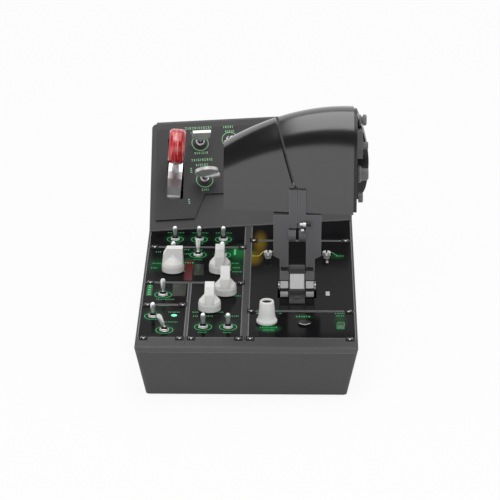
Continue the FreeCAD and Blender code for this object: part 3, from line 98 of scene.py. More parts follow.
def hinge_place(joint_name):
    """Where a joint's axle passes, from the record."""
    joint = next(j for j in frame["joints"] if j["name"] == joint_name)
    return Vector(joint["pos_m"])


def throw_place(switch):
    """The pivot of a toggle or a console switch."""
    return hinge_place(switch + "_throw")


def in_mm(points):
    """A flat outline given in millimetres, in metres."""
    return [(a * MM, b * MM) for a, b in points]


def on_deck(height=PANEL_TOP):
    """A flat place on or near the light panels: x across, y back from the front edge."""
    return Matrix.Translation((0, DECK_FRONT, height))


def on_console():
    """A flat place on the console's sloping face plate: x across, y up the face."""
    return CONSOLE @ Matrix.Translation((0, 0, FACE_PLATE))


# ---------------------------------------------------------------- shared node groups

PATCH_SIZE, PATCH_DETAIL, SHADE_DETAIL = 22, 3, 6
BUMP_HEIGHT, STREAK_HEIGHT = 0.1 * MM, 0.05 * MM
# Radius, reach, sharpness and strength of the painted highlight along outer edges.
EDGE_RADIUS, EDGE_REACH, EDGE_SHARPNESS, EDGE_AMOUNT = 0.6 * MM, 2 * MM, 7.0, 0.8
GLOW_FALL = 1.6


def new_group(name, inputs, outputs):
    """An empty node group with named sockets, and its two end nodes."""
    group = bpy.data.node_groups.new(name, "ShaderNodeTree")
    for label, kind, value in inputs:
        socket = group.interface.new_socket(name=label, in_out="INPUT", socket_type="NodeSocket" + kind)
        socket.default_value = value
    for label, kind in outputs:
        group.interface.new_socket(name=label, in_out="OUTPUT", socket_type="NodeSocket" + kind)
    return group, group.nodes.new("NodeGroupInput"), group.nodes.new("NodeGroupOutput")


def maths(group, operation, first, second=None):
    """One Math node: each input is a socket or a plain number."""
    node = group.nodes.new("ShaderNodeMath")
    node.operation = operation
    for slot, given in zip(node.inputs, (first, second)):
        if isinstance(given, (int, float)):
            slot.default_value = given
        elif given is not None:
            group.links.new(given, slot)
    return node.outputs[0]


def grain_group():
    """Fine moulded or cast grain, as a roughness and a bump."""
    group, given, made = new_group("fine_grain", (
        ("Size", "Float", 900.0), ("Depth", "Float", 0.1),
        ("Rough Low", "Float", 0.4), ("Rough High", "Float", 0.5),
    ), (("Roughness", "Float"), ("Normal", "Vector")))
    nodes, link = group.nodes, group.links.new
    place, noise, patches = (nodes.new("ShaderNodeTexCoord"), nodes.new("ShaderNodeTexNoise"),
                             nodes.new("ShaderNodeTexNoise"))
    spread, bump = nodes.new("ShaderNodeMapRange"), nodes.new("ShaderNodeBump")
    noise.inputs["Detail"].default_value = PATCH_DETAIL
    patches.inputs["Scale"].default_value = PATCH_SIZE
    bump.inputs["Distance"].default_value = BUMP_HEIGHT
    link(place.outputs["Object"], noise.inputs["Vector"])
    link(place.outputs["Object"], patches.inputs["Vector"])
    link(given.outputs["Size"], noise.inputs["Scale"])
    link(noise.outputs["Fac"], bump.inputs["Height"])
    link(given.outputs["Depth"], bump.inputs["Strength"])
    link(patches.outputs["Fac"], spread.inputs["Value"])
    link(given.outputs["Rough Low"], spread.inputs["To Min"])
    link(given.outputs["Rough High"], spread.inputs["To Max"])
    link(spread.outputs["Result"], made.inputs["Roughness"])
    link(bump.outputs["Normal"], made.inputs["Normal"])
    return group


def shade_group():
    """A colour that drifts a little over the surface, with dust and handling."""
    group, given, made = new_group("uneven_colour", (
        ("Colour", "Color", (0.1, 0.1, 0.1, 1)), ("Spread", "Float", 0.12), ("Size", "Float", 30.0),
    ), (("Colour", "Color"),))
    nodes, link = group.nodes, group.links.new
    place, noise, shift = (nodes.new("ShaderNodeTexCoord"), nodes.new("ShaderNodeTexNoise"),
                           nodes.new("ShaderNodeHueSaturation"))
    noise.inputs["Detail"].default_value = SHADE_DETAIL
    link(place.outputs["Object"], noise.inputs["Vector"])
    link(given.outputs["Size"], noise.inputs["Scale"])
    centred = maths(group, "SUBTRACT", noise.outputs["Fac"], 0.5)
    value = maths(group, "ADD", maths(group, "MULTIPLY", centred, given.outputs["Spread"]), 1.0)
    link(value, shift.inputs["Value"])
    link(given.outputs["Colour"], shift.inputs["Color"])
    link(shift.outputs["Color"], made.inputs["Colour"])
    return group


def edge_highlight_group():
    """Painted highlight: a lighter colour along outer edges, where a rounded edge would catch the light."""
    group, given, made = new_group("painted_edge_highlight", (
        ("Colour", "Color", (0.1, 0.1, 0.1, 1)), ("Edge", "Color", (0.3, 0.3, 0.3, 1)),
        ("Amount", "Float", 0.5),
    ), (("Colour", "Color"),))
    nodes, link = group.nodes, group.links.new
    rounded, shape, near = (nodes.new("ShaderNodeBevel"), nodes.new("ShaderNodeNewGeometry"),
                            nodes.new("ShaderNodeAmbientOcclusion"))
    dot, mix = nodes.new("ShaderNodeVectorMath"), nodes.new("ShaderNodeMix")
    rounded.samples, near.samples, near.only_local = 4, 4, True
    rounded.inputs["Radius"].default_value = EDGE_RADIUS
    near.inputs["Distance"].default_value = EDGE_REACH
    dot.operation, mix.data_type = "DOT_PRODUCT", "RGBA"
    link(rounded.outputs["Normal"], dot.inputs[0])
    link(shape.outputs["True Normal"], dot.inputs[1])
    # How far the surface turns at an edge sets where the highlight is painted; the occlusion keeps it to outer
    # edges.
    turned = maths(group, "MULTIPLY", maths(group, "SUBTRACT", 1.0, dot.outputs["Value"]), EDGE_SHARPNESS)
    outer = maths(group, "SUBTRACT", maths(group, "MULTIPLY", near.outputs["AO"], 2.0), 1.0)
    both = maths(group, "MULTIPLY", maths(group, "MINIMUM", turned, 1.0), maths(group, "MAXIMUM", outer, 0.0))
    link(maths(group, "MULTIPLY", both, given.outputs["Amount"]), mix.inputs["Factor"])
    link(given.outputs["Colour"], mix.inputs["A"])
    link(given.outputs["Edge"], mix.inputs["B"])
    link(mix.outputs["Result"], made.inputs["Colour"])
    return group


def glow_group():
    """A soft oval of light behind a dark panel, added to the light that comes in."""
    group, given, made = new_group("glow_spot", (
        ("Light", "Vector", (0, 0, 0)), ("Across", "Float", 0.0), ("Back", "Float", 0.0),
        ("Wide", "Float", 0.01), ("Deep", "Float", 0.01), ("Colour", "Vector", (0, 0.1, 0)),
    ), (("Light", "Vector"),))
    nodes, link = group.nodes, group.links.new
    place, parts = nodes.new("ShaderNodeTexCoord"), nodes.new("ShaderNodeSeparateXYZ")
    scaled, total = nodes.new("ShaderNodeVectorMath"), nodes.new("ShaderNodeVectorMath")
    link(place.outputs["Object"], parts.inputs[0])
    squares = []
    for out, centre, size in (("X", "Across", "Wide"), ("Y", "Back", "Deep")):
        away = maths(group, "SUBTRACT", parts.outputs[out], given.outputs[centre])
        squares.append(maths(group, "POWER", maths(group, "DIVIDE", away, given.outputs[size]), 2.0))
    left = maths(group, "SUBTRACT", 1.0, maths(group, "ADD", *squares))
    soft = maths(group, "POWER", maths(group, "MAXIMUM", left, 0.0), GLOW_FALL)
    scaled.operation, total.operation = "SCALE", "ADD"
    link(given.outputs["Colour"], scaled.inputs[0])
    link(soft, scaled.inputs["Scale"])
    link(scaled.outputs[0], total.inputs[0])
    link(given.outputs["Light"], total.inputs[1])
    link(total.outputs[0], made.inputs["Light"])
    return group


GRAIN, SHADE, EDGE_HIGHLIGHT, GLOW = grain_group(), shade_group(), edge_highlight_group(), glow_group()


# ---------------------------------------------------------------- materials

def placed(material, group):
    """A shared group as a node of a material."""
    node = material.node_tree.nodes.new("ShaderNodeGroup")
    node.node_tree = group
    return node


def surface(name, colour, rough, grain=(900, 0.1), spread=0.12, metal=0.0, coat=0.0, coat_rough=0.06,
            specular=0.5, glow=0.0, edge=None):
    """A material whose colour, roughness and bump come from the shared groups."""
    material = bpy.data.materials.new(name)
    material.use_nodes = True
    link = material.node_tree.links.new
    shader = material.node_tree.nodes["Principled BSDF"]
    shader.inputs["Metallic"].default_value = metal
    shader.inputs["Coat Weight"].default_value = coat
    shader.inputs["Coat Roughness"].default_value = coat_rough
    shader.inputs["Specular IOR Level"].default_value = specular
    fine, shade = placed(material, GRAIN), placed(material, SHADE)
    for socket, value in zip(("Size", "Depth", "Rough Low", "Rough High"), (*grain, *rough)):
        fine.inputs[socket].default_value = value
    shade.inputs["Colour"].default_value = (*colour, 1)
    shade.inputs["Spread"].default_value = spread
    link(fine.outputs["Roughness"], shader.inputs["Roughness"])
    link(fine.outputs["Normal"], shader.inputs["Normal"])
    last = shade
    # An edge colour is painted along the outer edges as a highlight.
    if edge:
        last = placed(material, EDGE_HIGHLIGHT)
        last.inputs["Edge"].default_value = (*edge, 1)
        last.inputs["Amount"].default_value = EDGE_AMOUNT
        link(shade.outputs["Colour"], last.inputs["Colour"])
    link(last.outputs["Colour"], shader.inputs["Base Color"])
    if glow:
        link(last.outputs["Colour"], shader.inputs["Emission Color"])
        shader.inputs["Emission Strength"].default_value = glow
    return material


def striped(material, lines, depth):
    """Adds a bump of noise stretched along the way the surface was worked."""
    nodes, link = material.node_tree.nodes, material.node_tree.links.new
    place, stretch = nodes.new("ShaderNodeTexCoord"), nodes.new("ShaderNodeMapping")
    noise, bump = nodes.new("ShaderNodeTexNoise"), nodes.new("ShaderNodeBump")
    stretch.inputs["Scale"].default_value = lines
    noise.inputs["Scale"].default_value = 1
    bump.inputs["Strength"].default_value = depth
    bump.inputs["Distance"].default_value = STREAK_HEIGHT
    link(place.outputs["Object"], stretch.inputs["Vector"])
    link(stretch.outputs["Vector"], noise.inputs["Vector"])
    link(noise.outputs["Fac"], bump.inputs["Height"])
    link(bump.outputs["Normal"], nodes["Principled BSDF"].inputs["Normal"])
    return noise


def brushed(name, colour, rough, lines=(3, 3, 900), depth=0.25, metal=1.0):
    """A brushed or turned metal."""
    material = surface(name, colour, rough, metal=metal, spread=0.06)
    striped(material, lines, depth)
    return material


def streaked_red():
    """Tinted clear plastic with moulded streaks that run round the rim."""
    material = surface("gear_wheel_red", (0.62, 0.02, 0.03), (0.12, 0.25), grain=(500, 0.1), coat=0.5)
    noise = striped(material, (520, 50, 40), 0.3)
    noise.inputs["Detail"].default_value = 3
    nodes, link = material.node_tree.nodes, material.node_tree.links.new
    ramp = nodes.new("ShaderNodeValToRGB")
    stops = ramp.color_ramp.elements
    stops[0].position, stops[0].color = 0.36, (0.40, 0.008, 0.012, 1)
    stops[1].position, stops[1].color = 0.66, (0.93, 0.45, 0.43, 1)
    middle = stops.new(0.53)
    middle.color = (0.72, 0.04, 0.05, 1)
    link(noise.outputs["Fac"], ramp.inputs["Fac"])
    link(ramp.outputs["Color"], nodes["Principled BSDF"].inputs["Base Color"])
    return material


def light_panel(name, spots):
    """Black light panel: the lamps under it show as soft ovals of (across, back, wide, deep, colour)."""
    material = surface(name + "_black", (0.006, 0.006, 0.007), (0.10, 0.17), (600, 0.02), specular=0.02)
    shader = material.node_tree.nodes["Principled BSDF"]
    light = None
    for values in spots:
        spot = placed(material, GLOW)
        for socket, value in zip(("Across", "Back", "Wide", "Deep", "Colour"), values):
            spot.inputs[socket].default_value = value
        if light:
            material.node_tree.links.new(light.outputs["Light"], spot.inputs["Light"])
        light = spot
    if light:
        material.node_tree.links.new(light.outputs["Light"], shader.inputs["Emission Color"])
        shader.inputs["Emission Strength"].default_value = 1
    return material


# Colours of the painted highlight along outer edges, for the materials that are given one.
EDGE_GREY, EDGE_DARK, EDGE_MIDDLE, EDGE_PALE = (0.24, 0.24, 0.245), (0.12,) * 3, (0.35,) * 3, (0.42,) * 3
MATERIALS = {
    "casing": surface("casing_grey", (0.060, 0.060, 0.062), (0.50, 0.62), (1400, 0.35), edge=EDGE_GREY),
    "face_plate": surface("face_plate_grey", (0.030, 0.030, 0.032), (0.45, 0.55), (1400, 0.3),
                          edge=EDGE_DARK),
    "steel_plate": surface("base_plate_black", (0.02, 0.02, 0.02), (0.5, 0.65), (700, 0.5)),
    "black_screw": surface("screw_black", (0.09, 0.09, 0.095), (0.22, 0.32), metal=1.0),
    "black_plastic": surface("black_plastic", (0.010, 0.010, 0.011), (0.26, 0.36), (1200, 0.2),
                             edge=(0.10, 0.10, 0.10)),
    "steel": brushed("axle_steel", (0.62, 0.62, 0.63), (0.22, 0.34)),
    "block_paint": surface("block_grey", (0.035, 0.035, 0.037), (0.34, 0.45), (900, 0.3), edge=EDGE_GREY),
    "foot_rubber": surface("foot_rubber", (0.014, 0.014, 0.014), (0.8, 0.92), (500, 0.6)),
    "board": surface("board_green", (0.012, 0.09, 0.035), (0.3, 0.45), (300, 0.2)),
    "arm_paint": surface("arm_grey", (0.12, 0.12, 0.125), (0.42, 0.55), (1500, 0.35), edge=EDGE_MIDDLE),
    "grip_gloss": surface("grip_black", (0.010, 0.010, 0.011), (0.18, 0.24), (1600, 0.04), coat=0.5,
                          coat_rough=0.2, specular=1.0),
    "control_grey": surface("control_grey", (0.15, 0.15, 0.15), (0.38, 0.5), (1000, 0.3), edge=EDGE_PALE),
    "white_plastic": surface("knob_white", (0.90, 0.895, 0.88), (0.38, 0.5), (1500, 0.25), spread=0.05),
    "red_clear": streaked_red(),
    "shutter_metal": brushed("shutter_steel", (0.66, 0.66, 0.67), (0.26, 0.38), lines=(900, 3, 3), depth=0.4),
    "bright_metal": brushed("bright_steel", (0.88, 0.88, 0.89), (0.24, 0.32), depth=0.05, metal=0.55),
    "button_plastic": surface("button_black", (0.010, 0.010, 0.011), (0.2, 0.3), specular=0.15),
    "lit_plastic": surface("thumbwheel_green", (0.008, 0.075, 0.022), (0.25, 0.4), glow=0.25, spread=0.5),
}
SATIN = brushed("satin_steel", (0.86, 0.86, 0.86), (0.34, 0.46), depth=0.1, metal=0.5)
# Painted shade: a darker copy of the casing grey for the top-facing deck frame, for the lesser light it gets.
DECK_RIB_SHADED = surface("deck_rib_shaded_grey", (0.042, 0.042, 0.044), (0.50, 0.62), (1400, 0.35), edge=EDGE_GREY)
FINISHES = {"deck_frame": DECK_RIB_SHADED, "switch_disc": SATIN, "switch_tab": SATIN, "detent_left": SATIN,
            "detent_right": SATIN}
# Pale grey for the painted highlight along the deck ribs' edges.
RIB_EDGE_HIGHLIGHT = surface("painted_rib_highlight", (0.20, 0.20, 0.205), (0.45, 0.55), (1400, 0.3))
# Painted shade: black for the recesses, in the screw wells, the screws' cross slots and the bell knob's
# hollow.
RECESS_SHADE = surface("painted_recess_shade", (0.008, 0.008, 0.008), (0.5, 0.6), specular=0.1)
SCREW_STEEL = brushed("screw_dark_steel", (0.30, 0.30, 0.31), (0.18, 0.28), depth=0.1)
LEGEND = surface("legend_green", (0.035, 0.33, 0.10), (0.4, 0.5), glow=0.55, spread=0.5)
LEGEND_PALE = surface("legend_pale", (0.20, 0.42, 0.23), (0.4, 0.5), glow=0.4, spread=0.4)
LEGEND_AMBER = surface("legend_amber", (0.42, 0.40, 0.03), (0.4, 0.5), glow=0.5, spread=0.4)
WHITE_MARK = surface("white_mark", (0.70, 0.70, 0.69), (0.4, 0.5), spread=0.06)
CYAN_LAMP = surface("cyan_lamp", (0.15, 0.80, 0.50), (0.2, 0.3), glow=0.7)
# Silver for the painted reflections on the hubs and for the plate on the block between them.
SILVER = brushed("band_silver", (0.62, 0.62, 0.63), (0.34, 0.46), lines=(3, 700, 700), metal=0.4)
RED_WINDOW = surface("red_window", (0.085, 0.003, 0.005), (0.12, 0.2), specular=0.1, glow=0.1)
SMOKED_WINDOW = surface("smoked_window", (0.018, 0.026, 0.016), (0.12, 0.2), spread=0.8, specular=0.2)
GREEN_WINDOW = surface("green_window", (0.006, 0.075, 0.02), (0.2, 0.3), glow=0.4, spread=0.9, specular=0.1)

GREEN_HAZE, GREEN_LIT, AMBER = (0.002, 0.040, 0.010), (0.006, 0.11, 0.028), (0.12, 0.075, 0.002)
# Lamps under the deck: middle across and back from the front edge, half widths (mm), colour.
LIT_SPOTS = ((-10, 241, 17, 26, GREEN_LIT), (-92, 206, 16, 24, GREEN_HAZE), (-62, 208, 9, 22, GREEN_LIT),
             (-14, 204, 14, 26, GREEN_HAZE), (20.8, 44, 14, 12, GREEN_LIT), (54.2, 74, 12, 7, GREEN_HAZE),
             (89, 62, 8, 26, GREEN_HAZE), (10, 270, 9, 40, AMBER), (4, 226, 11, 26, AMBER),
             (88, 232, 10, 9, GREEN_HAZE))
TOGGLE_GLOW_BACK, TOGGLE_GLOW_WIDE, TOGGLE_GLOW_DEEP = 2 * MM, 13 * MM, 18 * MM


def panel_lights():
    """The lamps under the light panels, as (across, back, wide, deep, colour) in the frame's axes."""
    found = [(x * MM, DECK_FRONT + y * MM, wide * MM, deep * MM, colour)
             for x, y, wide, deep, colour in LIT_SPOTS]
    for name in DECK_TOGGLES:
        at = throw_place(name)
        found.append((at.x, at.y + TOGGLE_GLOW_BACK, TOGGLE_GLOW_WIDE, TOGGLE_GLOW_DEEP, GREEN_HAZE))
    return found


def lights_under(name):
    """The lamps whose glow reaches a light panel."""
    low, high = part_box(name)
    return [(x, y, wide, deep, colour) for x, y, wide, deep, colour in panel_lights()
            if low.x - wide < x < high.x + wide and low.y - deep < y < high.y + deep]


def dress_nodes():
    """Every CAD node gets the finish of its slot in the record; a light panel also shows its lamps."""
    for entry in frame["record"]["subparts"]:
        name = entry["node"]
        if name in LIGHT_PANELS:
            finish = light_panel(name, lights_under(name))
        else:
            finish = FINISHES.get(name, MATERIALS[entry["material_slot"]])
        for slot in frame["nodes"][name].material_slots:
            slot.material = finish


# ---------------------------------------------------------------- mesh helpers

WELD = 0.0005 * MM
SHARP_ANGLE = radians(35)


def in_order(parts, key):
    """Puts a mesh's vertices or faces in an order that is the same in each run."""
    rank = {part: k for k, part in enumerate(sorted(parts, key=key))}
    parts.sort(key=lambda part: rank[part])


def solid_object(name, mesh, material, smooth=False):
    """Turns a closed bmesh into an object with outward faces and one material."""
    bmesh.ops.recalc_face_normals(mesh, faces=mesh.faces)
    in_order(mesh.verts, lambda vert: vert.co[:])
    in_order(mesh.faces, lambda face: sorted(vert.co[:] for vert in face.verts))
    data = bpy.data.meshes.new(name)
    mesh.to_mesh(data)
    mesh.free()
    data.materials.append(material)
    if smooth:
        data.shade_smooth()
        data.set_sharp_from_angle(angle=SHARP_ANGLE)
    thing = bpy.data.objects.new(name, data)
    bpy.context.scene.collection.objects.link(thing)
    return thing


def piece(name, mesh, material, body="base", smooth=False):
    """A visible piece that rides on a body."""
    thing = solid_object(name, mesh, material, smooth)
    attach(thing, body)
    return thing


def slab(mesh, place, x, y, length, depth, low, high, turn=0.0):
    """A thin box laid on a place."""
    size = Matrix.Diagonal((length, depth, high - low, 1))
    spot = Matrix.Translation((x, y, (low + high) / 2)) @ Matrix.Rotation(turn, 4, "Z")
    bmesh.ops.create_cube(mesh, size=1, matrix=place @ spot @ size)


def spin_round(mesh, place, outline, closed, start=0.0, end=2 * pi, steps=40):
    """Spins an outline of (radius, height) points round the Z axis of a place.

    A closed outline makes a ring; an open one starts and ends on the axis.
    """
    first = place @ Matrix.Rotation(start, 4, "Z")
    points = [mesh.verts.new(first @ Vector((radius, 0, height))) for radius, height in outline]
    pairs = list(zip(points, points[1:])) + ([(points[-1], points[0])] if closed else [])
    edges = [mesh.edges.new(pair) for pair in pairs]
    full = abs(end - start - 2 * pi) < 1e-6
    axis = (place.to_3x3() @ Vector((0, 0, 1))).normalized()
    bmesh.ops.spin(mesh, geom=points + edges, cent=place.translation, axis=axis, angle=end - start,
                   steps=steps, use_merge=full)
    if full:
        bmesh.ops.remove_doubles(mesh, verts=mesh.verts, dist=WELD)
    else:
        bmesh.ops.holes_fill(mesh, edges=[e for e in mesh.edges if e.is_boundary], sides=0)


INK = 0.06 * MM
TICK_WIDTHS = (0.50, 0.34, 0.60, 0.42, 0.54, 0.30)


class Ink:
    """Flat printed marks on a surface: bars, dashes in place of words, and rings."""

    def __init__(self, place):
        self.place = place
        self.mesh = bmesh.new()

    def bar(self, x, y, length, height, turn=0.0):
        """One straight bar, by its middle."""
        slab(self.mesh, self.place, x, y, length, height, -INK, INK, turn)

    def dashes(self, x, y, length, height, seed=0):
        """A row of short ticks and split ticks, about as dense as print."""
        at, k = x - length / 2, seed
        while at < x + length / 2 - 0.3 * height:
            wide = TICK_WIDTHS[k % len(TICK_WIDTHS)] * height
            if k % 3:
                self.bar(at + wide / 2, y, wide * 0.6, height * 0.8)
            else:
                self.bar(at + wide / 2, y + 0.28 * height, wide, 0.26 * height)
                self.bar(at + wide / 2, y - 0.28 * height, wide, 0.26 * height)
            at += wide + 0.26 * height
            k += 1

    def rows(self, places):
        """Rows of dashes, each as (across, back, length, height) in millimetres."""
        for k, (x, y, long, tall) in enumerate(places):
            self.dashes(x * MM, y * MM, long * MM, tall * MM, k)

    def bars(self, places):
        """Straight bars, each as (across, back, length, height) in millimetres."""
        for x, y, long, tall in places:
            self.bar(x * MM, y * MM, long * MM, tall * MM)

    def ring(self, x, y, radius, width, start=0.0, end=2 * pi, steps=40):
        """A ring, or part of one between two angles."""
        inner, outer = radius - width / 2, radius + width / 2
        spin_round(self.mesh, self.place @ Matrix.Translation((x, y, 0)),
                   ((inner, -INK), (outer, -INK), (outer, INK), (inner, INK)), True, start, end, steps)

    def path(self, points, width):
        """A line of bars through points given in millimetres."""
        points = in_mm(points)
        for one, two in zip(points, points[1:]):
            along = Vector(two) - Vector(one)
            middle, turn = (Vector(one) + Vector(two)) / 2, along.angle_signed(Vector((1, 0)))
            self.bar(middle.x, middle.y, along.length + 0.6 * width, width, turn)

    def done(self, name, material, body="base"):
        """Makes the marks a piece."""
        piece(name, self.mesh, material, body)


# ---------------------------------------------------------------- legends

# Marks round a deck toggle, from its pivot, by row: across, back, length, height (mm).
TOGGLE_ROWS = {"rear": ((-5.6, 18.6, 5.4, 2.2), (5.6, 18.6, 6, 2.2), (0, -12.4, 9, 2.2)),
               "mid": ((0, 14, 10, 2.2), (0, -13, 9, 2.2)), "front": ((0, -13.2, 9, 2.4),), "side": ()}
# Other rows on the deck: across, back from the front edge, length, height (mm).
DECK_ROWS = (
    (-64.5, 248.4, 5.6, 2.8), (-64.1, 236.7, 5.0, 2.8), (-92.8, 242.0, 6.4, 2.8), (-92.6, 210.4, 10, 2.6),
    (-94.9, 198.0, 7.6, 2.6), (-59.6, 212.5, 10.4, 3.4), (-14.2, 211.6, 7.6, 2.6), (-12.6, 199.5, 9, 2.8),
    (-12.4, 188.7, 9.4, 2.8), (-80.7, 115.4, 18, 2.4), (-81.0, 99.3, 10.4, 2.3), (-70.6, 83.0, 11.6, 2.4),
    (-72.8, 58.6, 13.6, 2.4), (-11.4, 125.4, 8.6, 2.6), (-50.1, 83.4, 6.4, 2.4), (-26.6, 83.7, 6.4, 2.4),
    (-49.6, 73.5, 6, 2.6), (-36.2, 73.7, 7, 2.6), (-15.2, 74.0, 14.6, 2.6), (20.8, 46.8, 17, 3.0),
    (20.8, 40.2, 10.8, 2.6), (54.2, 73.8, 15.2, 3.4), (89.0, 81.6, 9.8, 2.4), (89.4, 76.0, 8.4, 2.4),
    (89.0, 45.6, 7.6, 2.8), (-53.0, 226.0, 5.6, 2.2), (-67.5, 189.0, 7, 2.0),
)
# Rows on the console's face plate: across, up the face, length, height (mm).
CONSOLE_ROWS = (
    (-43.6, 113.9, 29, 3.4), (-44.2, 108.6, 17, 2.8), (-44.2, 84.8, 14, 3.0), (-43.8, 76.8, 22, 3.2),
    (-44.2, 70.9, 13.6, 3.2), (-44.0, 65.6, 5.6, 2.6), (-44.0, 42.2, 7.4, 2.8), (-11.8, 113.4, 11.4, 3.2),
    (-11.0, 108.4, 10.4, 2.8),
)
# Windows in the light panels: middle across and back, width, depth (mm).
WINDOWS = (("window_red", RED_WINDOW, ((-60.6, 192, 8, 54),)),
           ("window_smoked", SMOKED_WINDOW, ((-68.2, 142, 13, 36), (-50.5, 194, 9.6, 30))),
           ("window_green", GREEN_WINDOW, ((-97.3, 139.6, 5.7, 30),)))
WINDOW_SINK, MARK_RISE = 0.02 * MM, 0.03 * MM
# Bars on the deck, as the rows above; then the white marks and the console's bars.
DECK_BARS = ((9.6, 81.7, 2.6, 1.2), (31.4, 81.7, 2.6, 1.2), (-15.3, 242.4, 2.2, 16),
             *((-97.3, back, 2.6, 3.2) for back in (128, 134, 140, 146, 151)))
WHITE_BARS = ((77.7, 132.5, 3.8, 10.5), (78.0, 217, 2.4, 7))
CONSOLE_BARS = tuple((x, y + step, 1.8, 1.1) for x, y in ((-56.4, 65.2), (-62.2, 29.8))
                     for step in (-2.2, 0, 2.2))
# Rings as (radius, line width); then the middles of the console's rings and the points of the lines (mm).
DECK_RING, CONSOLE_RING = (8.2 * MM, 0.55 * MM), (8.6 * MM, 0.7 * MM)
CONSOLE_RINGS = ((-43.8, 96.2), (-43.4, 53.8), (-11.6, 98.4))
LINE = 0.7 * MM
GREEN_LINE = ((80.6, 243), (83.4, 243), (86.6, 236), (88, 235))
AMBER_LINES = (((9.6, 233.4), (13, 243), (14.8, 245.6)), ((21.8, 245), (24.3, 245.4)))
LAMP_PLACE, LAMP_DOME = (-70.7 * MM, 75 * MM, 0), ((0, 0.8), (1.6, 0.6), (2.9, 0.1), (3.0, -0.4), (0, -0.4))


def deck_legends():
    """Green lit marks on the light panels round the toggles and knobs."""
    ink = Ink(on_deck())
    for k, name in enumerate(DECK_TOGGLES):
        at = throw_place(name) - Vector((0, DECK_FRONT, 0))
        ink.ring(at.x, at.y, *DECK_RING)
        for step, (x, y, long, tall) in enumerate(TOGGLE_ROWS[name.split("_")[1]]):
            ink.dashes(at.x + x * MM, at.y + y * MM, long * MM, tall * MM, k + step)
    ink.rows(DECK_ROWS)
    ink.bars(DECK_BARS)
    ink.path(GREEN_LINE, LINE)
    ink.dashes(91.2 * MM, 233.2 * MM, 8.4 * MM, 3.0 * MM, 2)
    ink.done("legend_deck", LEGEND)


def amber_legend():
    """Amber lit mark beside the left detent knob."""
    ink = Ink(on_deck())
    ink.dashes(6.2 * MM, 232 * MM, 7.2 * MM, 3.2 * MM)
    for points in AMBER_LINES:
        ink.path(points, LINE)
    ink.done("legend_amber", LEGEND_AMBER)


def lamps_and_windows():
    """The coloured windows, the round lamp and the white marks."""
    for name, material, spots in WINDOWS:
        window = Ink(on_deck(PANEL_TOP - WINDOW_SINK))
        window.bars(spots)
        window.done(name, material)
    marks = Ink(on_deck(PANEL_TOP + MARK_RISE))
    marks.bars(WHITE_BARS)
    marks.done("marks_white", WHITE_MARK)
    dome = bmesh.new()
    spin_round(dome, on_deck() @ Matrix.Translation(LAMP_PLACE), in_mm(LAMP_DOME), False, steps=24)
    piece("lamp_cyan", dome, CYAN_LAMP, smooth=True)


def console_legends():
    """Pale green printed marks and rings on the face plate."""
    ink = Ink(on_console())
    ink.rows(CONSOLE_ROWS)
    for x, y in CONSOLE_RINGS:
        ink.ring(x * MM, y * MM, *CONSOLE_RING)
    ink.bars(CONSOLE_BARS)
    ink.done("legend_console", LEGEND_PALE)


# ---------------------------------------------------------------- hardware

NUT_ACROSS, NUT_TOP, NUT_HOLE, NUT_CHAMFER = 8 * MM, 2.1 * MM, 3.25 * MM, (0.5 * MM, 0.4 * MM)
WASHER_REACH, WASHER_LOW, WASHER_TOP = (0.58 * NUT_ACROSS, 0.55 * NUT_ACROSS), 0.35 * MM, 0.5 * MM
# Outlines to spin, as (radius, height) in millimetres; the bat's tip is measured from the lever's end.
BAT_NECK = ((0, -1.6), (1.5, -1.1), (2.0, 0), (1.5, 1.3), (1.2, 2.0), (1.2, 2.8), (1.9, 4.0), (2.15, 6))
BAT_TIP = ((2.4, -3), (2.3, -1.6), (1.6, -0.4), (0, 0))
SCREW_HEAD = ((0, 0), (2.9, 0), (2.9, 0.5), (2.4, 1.1), (1.2, 1.45), (0, 1.5))
LOCK_PIN = ((0, 0), (1.5, 0), (1.5, 3), (2.2, 3), (2.2, 6), (0, 6))
LOCK_PIN_END = ((0, 0), (1.4, 0), (1.4, 3), (0, 3))
LOCK_PIN_GRIP = ((0, 6), (1.8, 6), (1.8, 10.6), (1.4, 11), (0, 11))
# The bell knob: steps in from its widest radius, and steps up from the foot or down from the top (mm).
BELL_FOOT = ((0.4, 0), (0, 0.6), (0, 2.4), (0.8, 3.6), (1.7, 5.6), (2.2, 9))
BELL_TOP = ((3.1, 2), (3.4, 0.7), (3.9, 0.1), (4.4, 0), (4.9, 0.5), (5.1, 1.6), (5.2, 8))
BELL_FLOOR = ((5.2, 2.4), (5.2, 1.9))
BELL_GAP, BELL_DISH = 0.8 * MM, 2.1 * MM
# Boxes: length, depth, underside, top; the first is the painted shade at the bottom of a screw well, the
# second the painted shade in a cross slot.
SCREW_WELL_SHADE, SCREW_SLOT = (8.4 * MM, 11 * MM, -1 * MM, 0.10 * MM), (3.4 * MM, 0.9 * MM, 0.9 * MM, 1.56 * MM)
SLOT_TURNS = (radians(25), radians(115))
RIM_WIDE, RIM_LOW, RIM_HIGH, RIM_SHORT = 0.7 * MM, -0.5 * MM, 0.05 * MM, 3 * MM
PLATE_SUNK, PLATE_PROUD, PLATE_MARGIN = -0.3 * MM, 0.08 * MM, 0.6 * MM
HUB_PLATE_TILT, HUB_PLATE_ARC = radians(62), (radians(80), radians(94))
HUB_FLAT_DROP, HUB_PLATE_DEEP, HUB_ARC_SUNK = 0.9 * MM, 7 * MM, 0.4 * MM
BLOCK_PLATE_TILT, BLOCK_CHORD = radians(54), radians(24)
BLOCK_PLATE_BACK, BLOCK_PLATE_DEEP, BLOCK_PLATE_MARGIN = 0.6 * MM, 15 * MM, 0.5 * MM
PIN_ACROSS, PIN_OUT, PIN_UP = 2.4 * MM, 2 * MM, 70 * MM
CRESCENT_ARC = (radians(205), radians(335))
CLAMP_BELOW, CLAMP_BOX, CLAMP_ROUND = 23 * MM, (8 * MM, 8 * MM, -4.5 * MM, 4.5 * MM), 0.8 * MM


